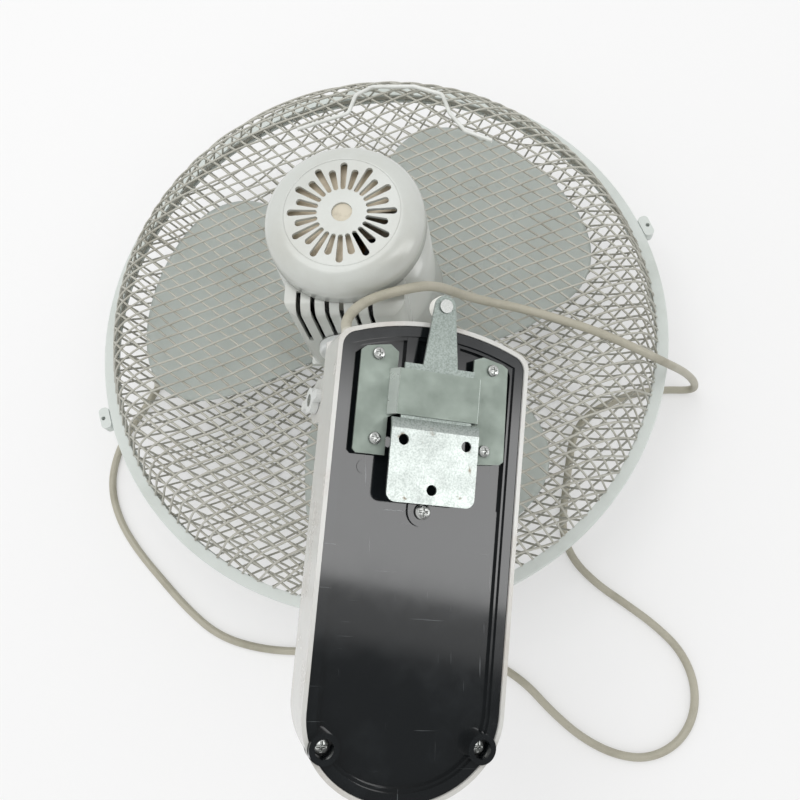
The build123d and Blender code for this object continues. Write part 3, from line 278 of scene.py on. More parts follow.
def shell(name, parts, body, material, smooth=True):
    """One mesh object from (points, quads) pairs in millimetres, riding on a body."""
    points = np.concatenate([part[0] for part in parts]) / 1000
    starts = np.cumsum([0] + [len(part[0]) for part in parts[:-1]])
    quads = np.concatenate([part[1] + start for part, start in zip(parts, starts)])
    mesh = bpy.data.meshes.new(name)
    mesh.vertices.add(len(points))
    mesh.vertices.foreach_set("co", points.astype(np.float32).ravel())
    mesh.loops.add(quads.size)
    mesh.loops.foreach_set("vertex_index", quads.astype(np.int32).ravel())
    mesh.polygons.add(len(quads))
    mesh.polygons.foreach_set("loop_start", np.arange(0, quads.size, 4, dtype=np.int32))
    mesh.polygons.foreach_set("use_smooth", np.full(len(quads), smooth))
    mesh.update(calc_edges=True)
    mesh.validate()
    piece = bpy.data.objects.new(name, mesh)
    piece.data.materials.append(material)
    bpy.context.scene.collection.objects.link(piece)
    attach(piece, body)
    return piece


def net(inner, outer, ways, height):
    """Wires of a net: each family is parallel lines a pitch apart in plan, waved by two sines that fade
    out at the rim, and lifted onto the dish. Lines that meet the inner ring are cut in two there."""
    parts = []
    for layer, way in enumerate(ways):
        angle = np.radians(way)
        line = np.array([np.cos(angle), np.sin(angle)])
        side = np.array([-line[1], line[0]])
        offsets = (np.arange(-net_most, net_most + 1) + 0.5) * net_pitch
        offsets = offsets[np.abs(offsets) < outer - net_margin]
        share = np.linspace(0, 1, net_steps)
        share = 0.5 * share + 0.5 * np.sin(share * np.pi / 2)
        for whole in (True, False):
            chosen = offsets[(np.abs(offsets) >= inner) == whole]
            reach = np.sqrt(outer ** 2 - chosen ** 2)
            if whole:
                sets = [reach[:, None] * np.concatenate([-share[::-1], share[1:]])[None]]
            else:
                start = np.sqrt(inner ** 2 - chosen ** 2)
                sets = [way_out * (start[:, None] + (reach - start)[:, None] * share[None])
                        for way_out in (-1, 1)]
            for along in sets:
                waver = sum(high * np.sin(along / long + chosen[:, None] * shift)
                            for high, long, shift in net_waves)
                waver = waver * np.clip((outer - np.abs(along)) / wave_fade, 0, 1)
                flat = along[..., None] * line + (chosen[:, None] + waver)[..., None] * side
                radius = np.hypot(flat[..., 0], flat[..., 1])
                lift = height(radius) + (layer - 0.5) * net_sink * 2
                parts.append(tubes(np.concatenate([flat, lift[..., None]], axis=-1), net_wire_radius))
    return parts


def ring_tube(radius, height, thick, around=192, sides=8):
    """Points and quads of a wire ring: a circle of the thickness carried round the Z axis."""
    turn_by = np.arange(around) * 2 * np.pi / around
    section = np.arange(sides) * 2 * np.pi / sides
    out = radius + thick * np.cos(section)[None, :]
    points = np.stack([out * np.cos(turn_by)[:, None], out * np.sin(turn_by)[:, None],
                       np.broadcast_to(height + thick * np.sin(section)[None, :], (around, sides))], axis=-1)
    quads = grid_quads(around + 1, sides) % (around * sides)
    return points.reshape(-1, 3), quads[:, ::-1]


# Plastic dip over wire: satin, pale grey with a green cast, with grey dust lodged in it.
dipped_wire = moulded("dipped_steel_wire", "#b9b8ae", "#847f71", soil=0.7, roughness=0.45, patch=0.035,
                      grain=0.0006, speck=0.3)
rear_wires = net(rear_inner, net_rim, net_ways,
                 lambda radius: dish_height(radius, rear_face, rear_rim, rear_bend, rear_slope))
rear_rings = [ring_tube(net_rim, rear_rim + rim_ring_shift, rim_ring_radius),
              ring_tube(rear_inner, rear_face - inner_ring_shift, inner_ring_radius)]
rear_net = shell("rear_net", rear_wires + rear_rings, "head", dipped_wire)
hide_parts("rear_guard")
front_wires = net(front_inner, net_rim, [-way for way in net_ways],
                  lambda radius: dish_height(radius, front_face, front_rim, front_bend, front_slope))
front_rings = [ring_tube(net_rim, front_rim - rim_ring_shift, rim_ring_radius),
               ring_tube(front_inner, front_face + inner_ring_shift, inner_ring_radius)]
front_net = shell("front_net", front_wires + front_rings, "head", dipped_wire)
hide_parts("front_guard")

# The clamp band is a C-section of soft white polypropylene with a green cast, closed by tabs at two
# places. It is satin and greyed by dust.
band_pp = moulded("polypropylene_band", "#d3d9d5", "#a9afa6", soil=0.4, roughness=0.4, patch=0.06, ior=1.49)
dress("guard_band", band_pp)
dress("band_clips", band_pp)
# Carry handle: bent wire with a thin dip of near-white plastic, satin and a little dusty.
dress("carry_handle", moulded("dipped_handle_wire", "#e4e6e2", "#a5a69e", soil=0.5, roughness=0.3,
                              patch=0.03))
# Badge: plain disc of gloss white styrene.
dress("front_badge", moulded("gloss_styrene_white", "#e4e6e8", "#bfc0bb", soil=0.25, roughness=0.2,
                             patch=0.05))
# Mount ring and nut: a flat zinc-plated steel ring, grey and satin, held by a ribbed white nylon nut.
zinc_steel = plated("zinc_plated_steel", "#b9bdb9", "#90948f", roughness=0.34)
dress("guard_nut", moulded("nylon_nut_white", "#dcdedd", "#b9b8b0", soil=0.3, roughness=0.35, patch=0.03))
mount_bore, mount_radius = 21.9, 52.0
mount_low, mount_top = 133.0, 134.6


def turned_ring(profile, around=96, start=0.0, sweep=360.0):
    """Points and quads of a closed profile of radii and heights, carried all or part of the way round."""
    whole = sweep >= 360
    angle = np.radians(start) + np.arange(around) * np.radians(sweep) / (around if whole else around - 1)
    radius, height = np.array(profile, float).T
    points = np.stack([radius * np.cos(angle)[:, None], radius * np.sin(angle)[:, None],
                       np.broadcast_to(height, (around, len(radius)))], axis=-1)
    ring = np.arange(around if whole else around - 1)[:, None]
    here = np.arange(len(radius))[None]
    ahead = (here + 1) % len(radius)
    after = (ring + 1) % around
    rows = len(radius)
    quads = np.stack([ring * rows + here, after * rows + here, after * rows + ahead, ring * rows + ahead],
                     axis=-1)
    return points.reshape(-1, 3), quads.reshape(-1, 4)


mount_plate = shell("mount_plate", [turned_ring([(mount_bore, mount_low), (mount_radius, mount_low),
                                                 (mount_radius, mount_top), (mount_bore, mount_top)])],
                    "head", zinc_steel, smooth=False)
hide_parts("guard_mount_ring")

# ---- Motor housing ----
# Two moulded shells in high-gloss white ABS: the cap has long and short radial slots, and the gear
# compartment below it has straight slots over its rear edge. The white has turned a little warm with age,
# and dust lies near the slots. Heights are over the floor and radii from the fan's axis, in millimetres.
housing_abs = moulded("gloss_abs_white", "#c6c9c4", "#aeaca1", soil=0.45, roughness=0.2, patch=0.045,
                      coat=0.25)
dress("motor_housing", housing_abs)
# The cap's outer skin is a quarter round between the flat and the side, and a skirt below it that leaves
# the gear compartment free.
cap_flat_radius, cap_flat_low, cap_flat_top = 34.6, 263.9, 264.15
cap_round = 13.2
cap_round_radius, cap_round_height = 35.4, 251.0
cap_outside, cap_inside, cap_split = 48.8, 46.2, 243.0
skirt_start, skirt_sweep = -44.0, 268.0
round_turn = np.linspace(0, np.pi / 2, 9)
round_edge = [(cap_round_radius + cap_round * np.sin(t), cap_round_height + cap_round * np.cos(t))
              for t in round_turn]
cap_outline = [(cap_flat_radius, cap_flat_low), (cap_flat_radius, cap_flat_top), *round_edge,
               (cap_outside, cap_split), (cap_inside, cap_split)]
skirt_outline = [(cap_outside, cap_split), (50.2, 185.0), (54.2, 151.0), (53.6, 151.0), (49.6, 185.0),
                 (cap_inside, cap_split)]
cap_skin = shell("cap_skin", [turned_ring(cap_outline[::-1]),
                              turned_ring(skirt_outline[::-1], start=skirt_start, sweep=skirt_sweep)],
                 "head", housing_abs)
# Tan gearbox in satin acetal just under the slots, open at the lower right, as far as the slots show it.
gear_hole, gear_radius = 6.5, 34.5
gear_low, gear_top = 226.0, 257.5
gear_start, gear_sweep = 6.0, 288.0
gear_outline = [(gear_hole, gear_top), (gear_hole, gear_low), (gear_radius, gear_low),
                (gear_radius, gear_top)]
gear_acetal = moulded("gearbox_acetal_tan", "#ddd0ba", "#a8977b", soil=0.5, roughness=0.45, patch=0.012)
gear_block = shell("gear_block", [turned_ring(gear_outline[::-1], start=gear_start, sweep=gear_sweep)],
                   "head", gear_acetal, smooth=False)
dress("motor_front_cover", housing_abs)
# Push-in plug over the rear bearing: putty-coloured and dirty.
dress("cap_plug", moulded("putty_plug", "#cfc7b4", "#8d8470", soil=0.7, roughness=0.5, patch=0.006))

# ---- Motor ----
# Die-cast end bells, bronze bushes, a stack of steel laminations with enamelled windings, and a ground
# shaft. The casting is dull and grey, the bush brown and satin, the windings glossy and copper red.
cast_alloy = plated("die_cast_alloy", "#a9abad", "#7f8183", roughness=0.5, patch=0.012)
dress("front_end_bell", cast_alloy)
dress("rear_end_bell", cast_alloy)
sintered = plated("sintered_bronze", "#b08a52", "#7d6038", roughness=0.45, patch=0.004)
dress("front_bearing", sintered)
dress("rear_bearing", sintered)
# Lamination edges: dark blued steel in fine layers half a millimetre thick, drawn one millimetre apart.
dress("stator_core", plated("lamination_steel", "#5d6064", "#3f4144", roughness=0.42, grain=0.001,
                            relief=0.00006, along=(0.1, 0.1, 1)))
dress("stator_windings", plated("enamelled_copper", "#b06a3a", "#7a4224", roughness=0.3, patch=0.004,
                                grain=0.0008, relief=0.0001))
screw_steel = plated("nickelled_screw_steel", "#c3c5c3", "#8e908d", roughness=0.25, patch=0.004)
dress("motor_screws", screw_steel)
ground_steel = plated("ground_steel", "#b4b6b8", "#8f9193", roughness=0.2, patch=0.01)
dress("motor_shaft", ground_steel)
dress("rotor", plated("turned_rotor", "#a0a2a4", "#74767a", roughness=0.3, patch=0.006, along=(1, 1, 3)))

# ---- Swing drive and neck ----
# A geared motor in a plated can turns a nylon crank. The neck is moulded in white ABS and turns on a
# ground pin, and a steel bolt with a plastic wing nut clamps the tilt.
dress("swing_motor", plated("plated_can", "#b6b8b4", "#8a8c88", roughness=0.3))
nylon = moulded("natural_nylon", "#dddbd0", "#b6b1a0", soil=0.4, roughness=0.42, patch=0.02)
dress("swing_crank", nylon)
dress("swing_pin", ground_steel)
neck_abs = moulded("neck_abs_white", "#dfe2e1", "#bdbbb2", soil=0.5, roughness=0.3, patch=0.03)
dress("neck_block", neck_abs)
dress("tilt_nut", neck_abs)
dress("tilt_bolt", screw_steel)

# ---- Blades ----
# Three broad petals moulded in one piece with a ribbed hub, in a pale grey styrene resin, held by a round
# nut. A petal is cambered across and twisted along, from a steep root to a nearly level tip, and its
# corners are broad rounds. The edge is given as radius and angle from the petal's middle line.
petal_count = 3
petal_edge = np.array([(60, -55), (87, -48), (110, -42.5), (126, -38), (147, -33), (162, -30.5),
                       (174, -25.5), (180, -20.5), (183, -15), (183.5, -8), (184, 0), (184, 6), (184, 13),
                       (184, 20), (181, 28), (178, 33), (171, 37), (161, 41), (148, 44), (132, 46.5),
                       (112, 48), (92, 49.5), (77, 50), (60, 52)])
petal_turn = 42.5
petal_root = 42.0
petal_root_start, petal_root_end = -60, 58
petal_sheet = 2.2
petal_middle = 78.0
petal_camber, camber_half = 7.0, 120
root_pitch, tip_pitch = 15, 4
pitch_start, pitch_reach = 10, 184.5
edge_smoothing = 6
edge_round = 1.5
edge_reach = 60
edge_thinning = 0.96


def petal_lift(along, across):
    """Height of a petal's middle surface: a parabola across it, and a slope whose pitch eases from the
    root to the tip."""
    steep, easy = np.tan(np.radians([root_pitch, tip_pitch]))
    slope = steep + (easy - steep) * (along - pitch_start) / pitch_reach
    return petal_middle + petal_camber * (1 - (across / camber_half) ** 2) + across * slope


def petal(turn_by, spokes=65, steps=33):
    """A closed sheet: straight spokes from the hub to the petal's smoothed edge, lifted to the middle
    surface plus and minus half a thickness that thins along a quarter round to the rim, where the two
    faces are joined."""
    radius, angle = petal_edge[:, 0], np.radians(petal_edge[:, 1])
    corner = np.stack([radius * np.cos(angle), radius * np.sin(angle)], axis=-1)
    run = np.concatenate([[0], np.cumsum(np.hypot(*np.diff(corner, axis=0).T))])
    even = np.linspace(0, run[-1], spokes)
    edge = np.stack([np.interp(even, run, corner[:, i]) for i in (0, 1)], axis=-1)
    for _ in range(edge_smoothing):
        edge[1:-1] = 0.25 * edge[:-2] + 0.5 * edge[1:-1] + 0.25 * edge[2:]
    start = np.radians(np.linspace(petal_root_start, petal_root_end, spokes))
    root = petal_root * np.stack([np.cos(start), np.sin(start)], axis=-1)
    share = np.linspace(0, 1, steps) ** 0.8
    flat = root[None] + (edge - root)[None] * share[:, None, None]
    middle = petal_lift(flat[..., 0], flat[..., 1])
    inset = np.minimum(1 - share[:, None], 0.5 - np.abs(np.linspace(-0.5, 0.5, spokes))[None]) * edge_reach
    half = petal_sheet / 2 * np.sqrt(1 - (1 - np.clip(inset / edge_round, 0, 1)) ** 2 * edge_thinning)
    turned = np.radians(turn_by)
    x = flat[..., 0] * np.cos(turned) - flat[..., 1] * np.sin(turned)
    y = flat[..., 0] * np.sin(turned) + flat[..., 1] * np.cos(turned)
    faces = [np.stack([x, y, middle + way * half], axis=-1).reshape(-1, 3) for way in (1, -1)]
    body = grid_quads(steps, spokes, wrap=False)
    count = steps * spokes
    border = np.concatenate([np.arange(spokes), np.arange(1, steps) * spokes + spokes - 1,
                             (steps - 1) * spokes + np.arange(spokes - 2, -1, -1),
                             np.arange(steps - 2, 0, -1) * spokes])
    ahead = np.roll(border, -1)
    rim = np.stack([border, border + count, ahead + count, ahead], axis=-1)
    return np.concatenate(faces), np.concatenate([body, body[:, ::-1] + count, rim])


def hub_rib(angle, start, end, low, high, half=0.8):
    """An upright plate of the hub at an angle: a box between two radii and two heights."""
    way = np.array([np.cos(angle), np.sin(angle)])
    side = np.array([-way[1], way[0]]) * half
    plan = [way * start - side, way * end - side, way * end + side, way * start + side]
    points = np.array([(*corner, height) for height in (low, high) for corner in plan])
    return points, np.array([(3, 2, 1, 0), (4, 5, 6, 7), (0, 1, 5, 4), (1, 2, 6, 5), (2, 3, 7, 6),
                             (3, 0, 4, 7)])


# The hub is a cup with a boss in its middle, and six ribs between the two.
hub_radius, hub_inside, hub_round = 44.0, 41.4, 6.0
hub_low, hub_floor, hub_top = 78.0, 80.6, 112.0
boss_bore, boss_radius, boss_top = 4.05, 9.0, 106.6
rib_count, rib_sink = 6, 0.4
corner_turn = np.linspace(0, np.pi / 2, 7)
hub_corner = [(hub_radius - hub_round + hub_round * np.sin(t), hub_low + hub_round - hub_round * np.cos(t))
              for t in corner_turn]
hub_cup = [(boss_bore, hub_low), *hub_corner, (hub_radius, hub_top), (hub_inside, hub_top),
           (hub_inside, hub_floor), (boss_radius, hub_floor), (boss_radius, boss_top), (boss_bore, boss_top)]
hub_ribs = [hub_rib(2 * np.pi * k / rib_count, boss_radius - rib_sink, hub_inside + rib_sink,
                    hub_floor - rib_sink, boss_top) for k in range(rib_count)]
petals = [petal(petal_turn + 360 * k / petal_count) for k in range(petal_count)]
# Styrene-acrylonitrile: smooth and satin, a little dusty in broad patches.
blade_resin = moulded("styrene_acrylic_grey", "#bac1bc", "#a3aaa4", soil=0.5, roughness=0.3, patch=0.07,
                      ior=1.57)
fan_petals = shell("fan_petals", petals + [turned_ring(hub_cup)] + hub_ribs, "blade", blade_resin)
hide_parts("fan_blade")
dress("blade_nut", moulded("blade_nut_abs", "#d3d8d6", "#a9ada8", soil=0.3, roughness=0.3, patch=0.01))

# ---- Base ----
# The casing is a deep tray in gloss white ABS with a stem and two ears; its edge is soiled by handling. A
# gloss charcoal cover closes its back. Places on the base are given across it, along it and out of its
# back, in millimetres from the point between the bracket's two upper screws.
casing_abs = moulded("casing_abs_white", "#cdcdc9", "#ab9d8f", soil=0.6, roughness=0.24, patch=0.05, coat=0.2)
swing = np.radians(26.4)
tilt = np.radians(9.8)
tilt_axis = np.array([0, -95.0, 184.3])
stem_rise, stem_reach = 10.0, 138.6
across_base = np.array([np.cos(swing), 0, -np.sin(swing)])
level_out = np.array([np.sin(swing), 0, np.cos(swing)])
along_base = np.array([0, np.cos(tilt), 0]) + np.sin(tilt) * level_out
out_of_base = np.cos(tilt) * level_out - np.array([0, np.sin(tilt), 0])
base_axes = np.array([across_base, along_base, out_of_base])
base_origin = tilt_axis + stem_rise * along_base + stem_reach * out_of_base


def on_base(points):
    """Row-frame millimetres of points given across the base, along it and out of its back."""
    return base_origin + np.asarray(points, float) @ base_axes


def charcoal_cover():
    """Gloss charcoal styrene: near black, dusty in patches, with hairline scratches in two directions.
    Each set of scratches is a noise drawn out along one way, of which only the peaks are marked."""
    material = empty_material("gloss_styrene_charcoal")
    place = add_node(material, "TexCoord").outputs["Object"]
    cloud = add_node(material, "TexNoise", {"Vector": place, "Scale": 28.0, "Detail": 8.0, "Roughness": 0.7})
    dust = add_node(material, "MapRange", {"Value": cloud.outputs[0], "From Min": 0.5, "From Max": 0.85,
                                           "To Max": 0.3})
    tone = add_node(material, "Mix", {"Factor": dust.outputs[0], 6: linear("#15181a"), 7: linear("#3c4144")},
                    data_type="RGBA").outputs[2]
    for turned, scale in ((0.5, (26, 900, 26)), (-0.9, (700, 30, 30))):
        bent = add_node(material, "Mapping", {"Vector": place, "Rotation": (0.2, -0.4, turned),
                                              "Scale": scale})
        hair = add_node(material, "TexNoise", {"Vector": bent.outputs[0], "Scale": 1.0, "Detail": 2.0})
        mark = add_node(material, "MapRange", {"Value": hair.outputs[0], "From Min": 0.73, "From Max": 0.78,
                                               "To Max": 0.35})
        tone = add_node(material, "Mix", {"Factor": mark.outputs[0], 6: tone, 7: linear("#8b9092")},
                        data_type="RGBA").outputs[2]
    gloss = add_node(material, "MapRange", {"Value": cloud.outputs[0], "From Min": 0.3, "From Max": 0.8,
                                            "To Min": 0.05, "To Max": 0.13})
    shader = add_node(material, "BsdfPrincipled", {"Base Color": tone, "Roughness": gloss.outputs[0],
                                                   "IOR": 1.57})
    return finish_surface(material, shader)


tray_depth = 50.0
rim_drop = 4.0
side_draft, draft_depth = 3.4, 37.0
side_start, side_reach = 30.0, 21.5
end_start, end_reach = 150.0, 60.0
casing_corner, cover_corner = 8.5, 6.0


def casing_form(places):
    """The tray's depth is scaled so that its back edge drops and its front stays, and its sides and its
    round end move inwards in proportion to the depth below the edge."""
    u, v, w = places.T
    in_tray = w > -tray_depth - 0.01
    share = np.clip(-w / draft_depth, 0, 1)
    side = np.clip((np.abs(u) - side_start) / side_reach, 0, 1) * share * side_draft * np.sign(u)
    end = np.clip((-v - end_start) / end_reach, 0, 1) * share * side_draft
    formed = np.stack([u - side, v + end, w * (tray_depth - rim_drop) / tray_depth - rim_drop], axis=-1)
    return np.where(in_tray[:, None], formed, places)


def cover_form(places):
    """The cover sits at the tray's lowered back edge."""
    return places - np.array([0, 0, rim_drop])


shoulder_half, shoulder_start = 33.0, -9.0
upright_least = 2.0
lean_share, lean_spare = 0.9, 3.0
corner_least, crease_least = 0.45, 0.5


def refit(name, node, form, material, corner_reach):
    """A piece of the base with a node's moulded form. The node's facets are merged, the upright edges at
    the two shoulders are rounded, and each point is placed by the form. Edges past the crease angle stay
    sharp."""
    work = bmesh.new()
    work.from_mesh(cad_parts[node].data)
    bmesh.ops.remove_doubles(work, verts=work.verts, dist=1e-6)
    bmesh.ops.dissolve_limit(work, angle_limit=np.radians(0.6), verts=work.verts, edges=work.edges)
    work.verts.ensure_lookup_table()
    placed = {vert: (np.array(vert.co) * 1000 - base_origin) @ base_axes.T for vert in work.verts}
    corners = []
    for edge in work.edges:
        one, other = (placed[vert] for vert in edge.verts)
        rise = abs(one[2] - other[2])
        upright = rise > upright_least and np.hypot(*(one - other)[:2]) < lean_share * rise + lean_spare
        at_shoulder = (min(abs(one[0]), abs(other[0])) > shoulder_half
                       and min(one[1], other[1]) > shoulder_start)
        in_tray = min(one[2], other[2]) > -tray_depth - 0.2
        if upright and at_shoulder and in_tray and edge.is_manifold and edge.calc_face_angle() > corner_least:
            corners.append(edge)
    bmesh.ops.bevel(work, geom=corners, offset=corner_reach / 1000, offset_type="OFFSET", segments=6,
                    profile=0.5, affect="EDGES", clamp_overlap=True)
    places = np.array([vert.co for vert in work.verts]) * 1000
    formed = form((places - base_origin) @ base_axes.T)
    for vert, place in zip(work.verts, on_base(formed) / 1000):
        vert.co = place
    for edge in work.edges:
        edge.smooth = edge.is_manifold and edge.calc_face_angle() < crease_least
    for face in work.faces:
        face.smooth = True
    mesh = bpy.data.meshes.new(name)
    work.to_mesh(mesh)
    work.free()
    mesh.materials.append(material)
    piece = bpy.data.objects.new(name, mesh)
    bpy.context.scene.collection.objects.link(piece)
    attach(piece, "base")
    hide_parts(node)
    return piece


base_tray = refit("base_tray", "base_casing", casing_form, casing_abs, casing_corner)
cover_plate = refit("cover_plate", "back_cover", cover_form, charcoal_cover(), cover_corner)

# ---- Screws of the cover and the bracket ----
# Cross-recessed pan heads in nickel-plated steel, bright and smooth. Four hold the bracket's feet, and
# three, sunk in bosses, hold the cover.
screw_spokes = 64
dome_skirt, cross_reach = 0.55, 0.62
bracket_head_radius, bracket_head_height, bracket_head_level = 3.0, 2.0, -3.8
cover_head_radius, cover_head_height = 4.0, 2.2
bracket_screw_places = [(-30.9, 0), (30.9, 0), (-29.1, -41.5), (29.1, -41.5)]
cover_screw_places = [(0, -74.4, -7.0), (-39.8, -185.6, -9.0), (39.8, -185.6, -9.0)]


def cross_head(place, radius, height, recess=1.1, arm=0.55):
    """A polar grid: a low dome of an elliptic section to the radius, its skirt and underside, with a cross
    whose arms are V-shaped grooves sunk in its middle. Strips close the first and the last ring."""
    around = np.arange(screw_spokes) * 2 * np.pi / screw_spokes
    out = np.concatenate([np.linspace(0.02, 1, 22), [1.0, 0.05]])[:, None] * radius
    x = out * np.cos(around)
    y = out * np.sin(around)
    top = height * (dome_skirt + (1 - dome_skirt) * np.sqrt(np.maximum(1 - (out / radius) ** 2, 0)))
    in_cross = np.maximum(0, 1 - np.minimum(np.abs(x), np.abs(y)) / arm) * (out < cross_reach * radius)
    lift = top - recess * np.minimum(in_cross * 2, 1)
    lift[-2:] = 0.0
    points = np.stack([x, y, lift], axis=-1) + np.array(place)
    step = np.arange(screw_spokes // 2 - 1)[:, None]
    middle = np.hstack([step, step + 1, screw_spokes - 2 - step, screw_spokes - 1 - step])
    underside = (middle + (len(out) - 1) * screw_spokes)[:, ::-1]
    quads = np.concatenate([grid_quads(len(out), screw_spokes)[:, ::-1], middle, underside])
    return on_base(points.reshape(-1, 3)), quads


bracket_screw_heads = shell("bracket_screw_heads",
                            [cross_head((*place, bracket_head_level), bracket_head_radius,
                                        bracket_head_height) for place in bracket_screw_places],
                            "base", screw_steel)
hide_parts("bracket_screws")
cover_screw_heads = shell("cover_screw_heads",
                          [cross_head(place, cover_head_radius, cover_head_height)
                           for place in cover_screw_places], "base", screw_steel)
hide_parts("cover_screws")

# ---- Bracket and wall plate ----
# The bracket is pressed from 1.2 mm steel with a satin greenish zinc finish. The wall plate, which slides
# in its channel, is brighter, with a speckled arm and rust at its corners and holes.
dress("bracket", plated("satin_zinc_green", "#8c968e", "#7b857d", roughness=0.46, patch=0.012,
                        grain=0.0008, metal=0.45))
# The channel's side walls lean outward to the feet. Their zinc is drawn much paler than the bracket's, a
# painted highlight, and the left wall catches the light.
wall_section = [(21.4, 3.25), (24.2, -3.6), (23.2, -3.9), (20.4, 2.6)]
wall_upper, wall_lower = -6.5, -29.0


def leaning_wall(side):
    """The wall's section, given across and out of the base, carried along it between the two ends."""
    points = [(side * u, v, w) for v in (wall_upper, wall_lower) for u, w in wall_section]
    faces = np.array([(0, 1, 5, 4), (1, 2, 6, 5), (2, 3, 7, 6), (3, 0, 4, 7), (3, 2, 1, 0), (4, 5, 6, 7)])
    return on_base(points), faces if side > 0 else faces[:, ::-1]


# Painted highlight: the side walls' zinc is far paler than the bracket's, standing in for light on them.
highlight_painted_zinc = plated("zinc_painted_highlight", "#dfe4e0", "#b9c0bb", roughness=0.3, patch=0.006, metal=0.6)
channel_walls = shell("channel_walls", [leaning_wall(-1), leaning_wall(1)], "base", highlight_painted_zinc, smooth=False)
# Rust on the plate: places on the base in millimetres, and the reach of each stain in metres.
rust_spots = [((15, -66.5, 3.2), 0.007), ((-14, -69, 3.2), 0.005), ((16.5, -41, 3.2), 0.005),
              ((-16.5, -41, 3.2), 0.0045), ((0, -64, 3.2), 0.004), ((19, -52, 3.2), 0.005)]
arm_end, plate_start = -0.036, -0.031


def wall_plate_zinc():
    """Zinc: dull and speckled on the arm, bright below the bend, and rusted near the stained places, where
    a fall-off from each place is added to a cloud and cut at a level."""
    material = empty_material("bright_zinc_rusted")
    place = add_node(material, "TexCoord").outputs["Object"]
    cloud = add_node(material, "TexNoise", {"Vector": place, "Scale": 90.0, "Detail": 7.0, "Roughness": 0.7})
    speckle = add_node(material, "TexNoise", {"Vector": place, "Scale": 1100.0, "Detail": 4.0,
                                              "Roughness": 0.65})
    speckled = add_node(material, "MapRange", {"Value": speckle.outputs[0], "From Min": 0.42,
                                               "From Max": 0.62})
    along = add_node(material, "VectorMath", {0: place, 1: tuple(along_base)}, operation="DOT_PRODUCT")
    origin_along = float(base_origin @ along_base) / 1000
    arm_share = add_node(material, "MapRange", {"Value": along.outputs["Value"],
                                                "From Min": origin_along + arm_end,
                                                "From Max": origin_along + plate_start})
    lower = add_node(material, "Mix", {"Factor": speckled.outputs[0], 6: linear("#aeb4b1"),
                                       7: linear("#949b97")}, data_type="RGBA").outputs[2]
    upper = add_node(material, "Mix", {"Factor": speckled.outputs[0], 6: linear("#8f9893"),
                                       7: linear("#747d78")}, data_type="RGBA").outputs[2]
    tone = add_node(material, "Mix", {"Factor": arm_share.outputs[0], 6: lower, 7: upper},
                    data_type="RGBA").outputs[2]
    rust = None
    for spot, reach in rust_spots:
        far = add_node(material, "VectorMath", {0: place, 1: tuple(on_base(spot) / 1000)},
                       operation="DISTANCE")
        near = add_node(material, "MapRange", {"Value": far.outputs["Value"], "From Max": reach,
                                               "To Min": 0.3, "To Max": 0.0})
        rust = near.outputs[0] if rust is None else add_node(material, "Math", {0: rust, 1: near.outputs[0]},
                                                             operation="MAXIMUM").outputs[0]
    stained = add_node(material, "Math", {0: rust, 1: cloud.outputs[0]}, operation="ADD")
    amount = add_node(material, "MapRange", {"Value": stained.outputs[0], "From Min": 0.66, "From Max": 0.78})
    tone = add_node(material, "Mix", {"Factor": amount.outputs[0], 6: tone, 7: linear("#6e5a3c")},
                    data_type="RGBA").outputs[2]
    shiny = add_node(material, "MapRange", {"Value": arm_share.outputs[0], "To Min": 0.85, "To Max": 0.5})
    bright = add_node(material, "MapRange", {"Value": amount.outputs[0], "To Min": shiny.outputs[0],
                                             "To Max": 0.1})
    gloss = add_node(material, "MapRange", {"Value": cloud.outputs[0], "From Min": 0.3, "From Max": 0.7,
                                            "To Min": 0.28, "To Max": 0.42})
    shader = add_node(material, "BsdfPrincipled", {"Base Color": tone, "Metallic": bright.outputs[0],
                                                   "Roughness": gloss.outputs[0]})
    return finish_surface(material, shader)


dress("wall_plate", wall_plate_zinc())
dress("catch_roller", moulded("acetal_roller", "#e6e6e0", "#b9b6a8", soil=0.4, roughness=0.35, patch=0.006))
dress("catch_rivet", screw_steel)

# ---- Controls ----
# Five grey ABS buttons in the front of the base, a smoked acrylic lens over the lamps and one over the
# receiver. Behind them are the glass-fibre board with its green resist, its switches and the capacitor.
key_abs = moulded("key_abs_grey", "#b8bfc2", "#93999b", soil=0.4, roughness=0.4, patch=0.01)
for name in ("power", "speed", "swing", "timer", "mode"):
    dress(f"button_{name}", key_abs)
smoked = moulded("smoked_acrylic", "#2a1c1c", "#3a2c2a", soil=0.2, roughness=0.12, ior=1.49)
dress("indicator_lens", smoked)
dress("receiver_window", smoked)
dress("circuit_board", moulded("board_resist_green", "#2f5a38", "#244a2c", soil=0.5, roughness=0.35,
                               patch=0.004))
black_phenolic = moulded("black_phenolic", "#262626", "#3a3936", soil=0.4, roughness=0.4, patch=0.005)
dress("key_switches", black_phenolic)
dress("run_capacitor", black_phenolic)

# ---- Floor and light ----
# A plain pale floor, one large soft lamp from above and a white surround that lights evenly. The floor
# glows a little for the camera alone, so that it stays nearly white in the picture.
floor_half = 4
floor_glow_share = 0.35
floor_mesh = bpy.data.meshes.new("floor")
floor_mesh.from_pydata([(-floor_half, -floor_half, 0), (floor_half, -floor_half, 0),
                        (floor_half, floor_half, 0), (-floor_half, floor_half, 0)], [], [(0, 1, 2, 3)])
floor = bpy.data.objects.new("floor", floor_mesh)
bpy.context.scene.collection.objects.link(floor)
floor_paint = empty_material("floor_paint")
floor_shade = add_node(floor_paint, "BsdfDiffuse", {"Color": linear("#f2f2f2")})
floor_glow = add_node(floor_paint, "Emission", {"Color": linear("#ffffff"), "Strength": 1.0})
floor_seen = add_node(floor_paint, "LightPath")
seen_share = add_node(floor_paint, "Math", {0: floor_seen.outputs["Is Camera Ray"], 1: floor_glow_share},
                      operation="MULTIPLY")
floor_mix = add_node(floor_paint, "MixShader", {0: seen_share.outputs[0], 1: floor_shade.outputs[0],
                                                2: floor_glow.outputs[0]})
finish_surface(floor_paint, floor_mix)
floor_mesh.materials.append(floor_paint)

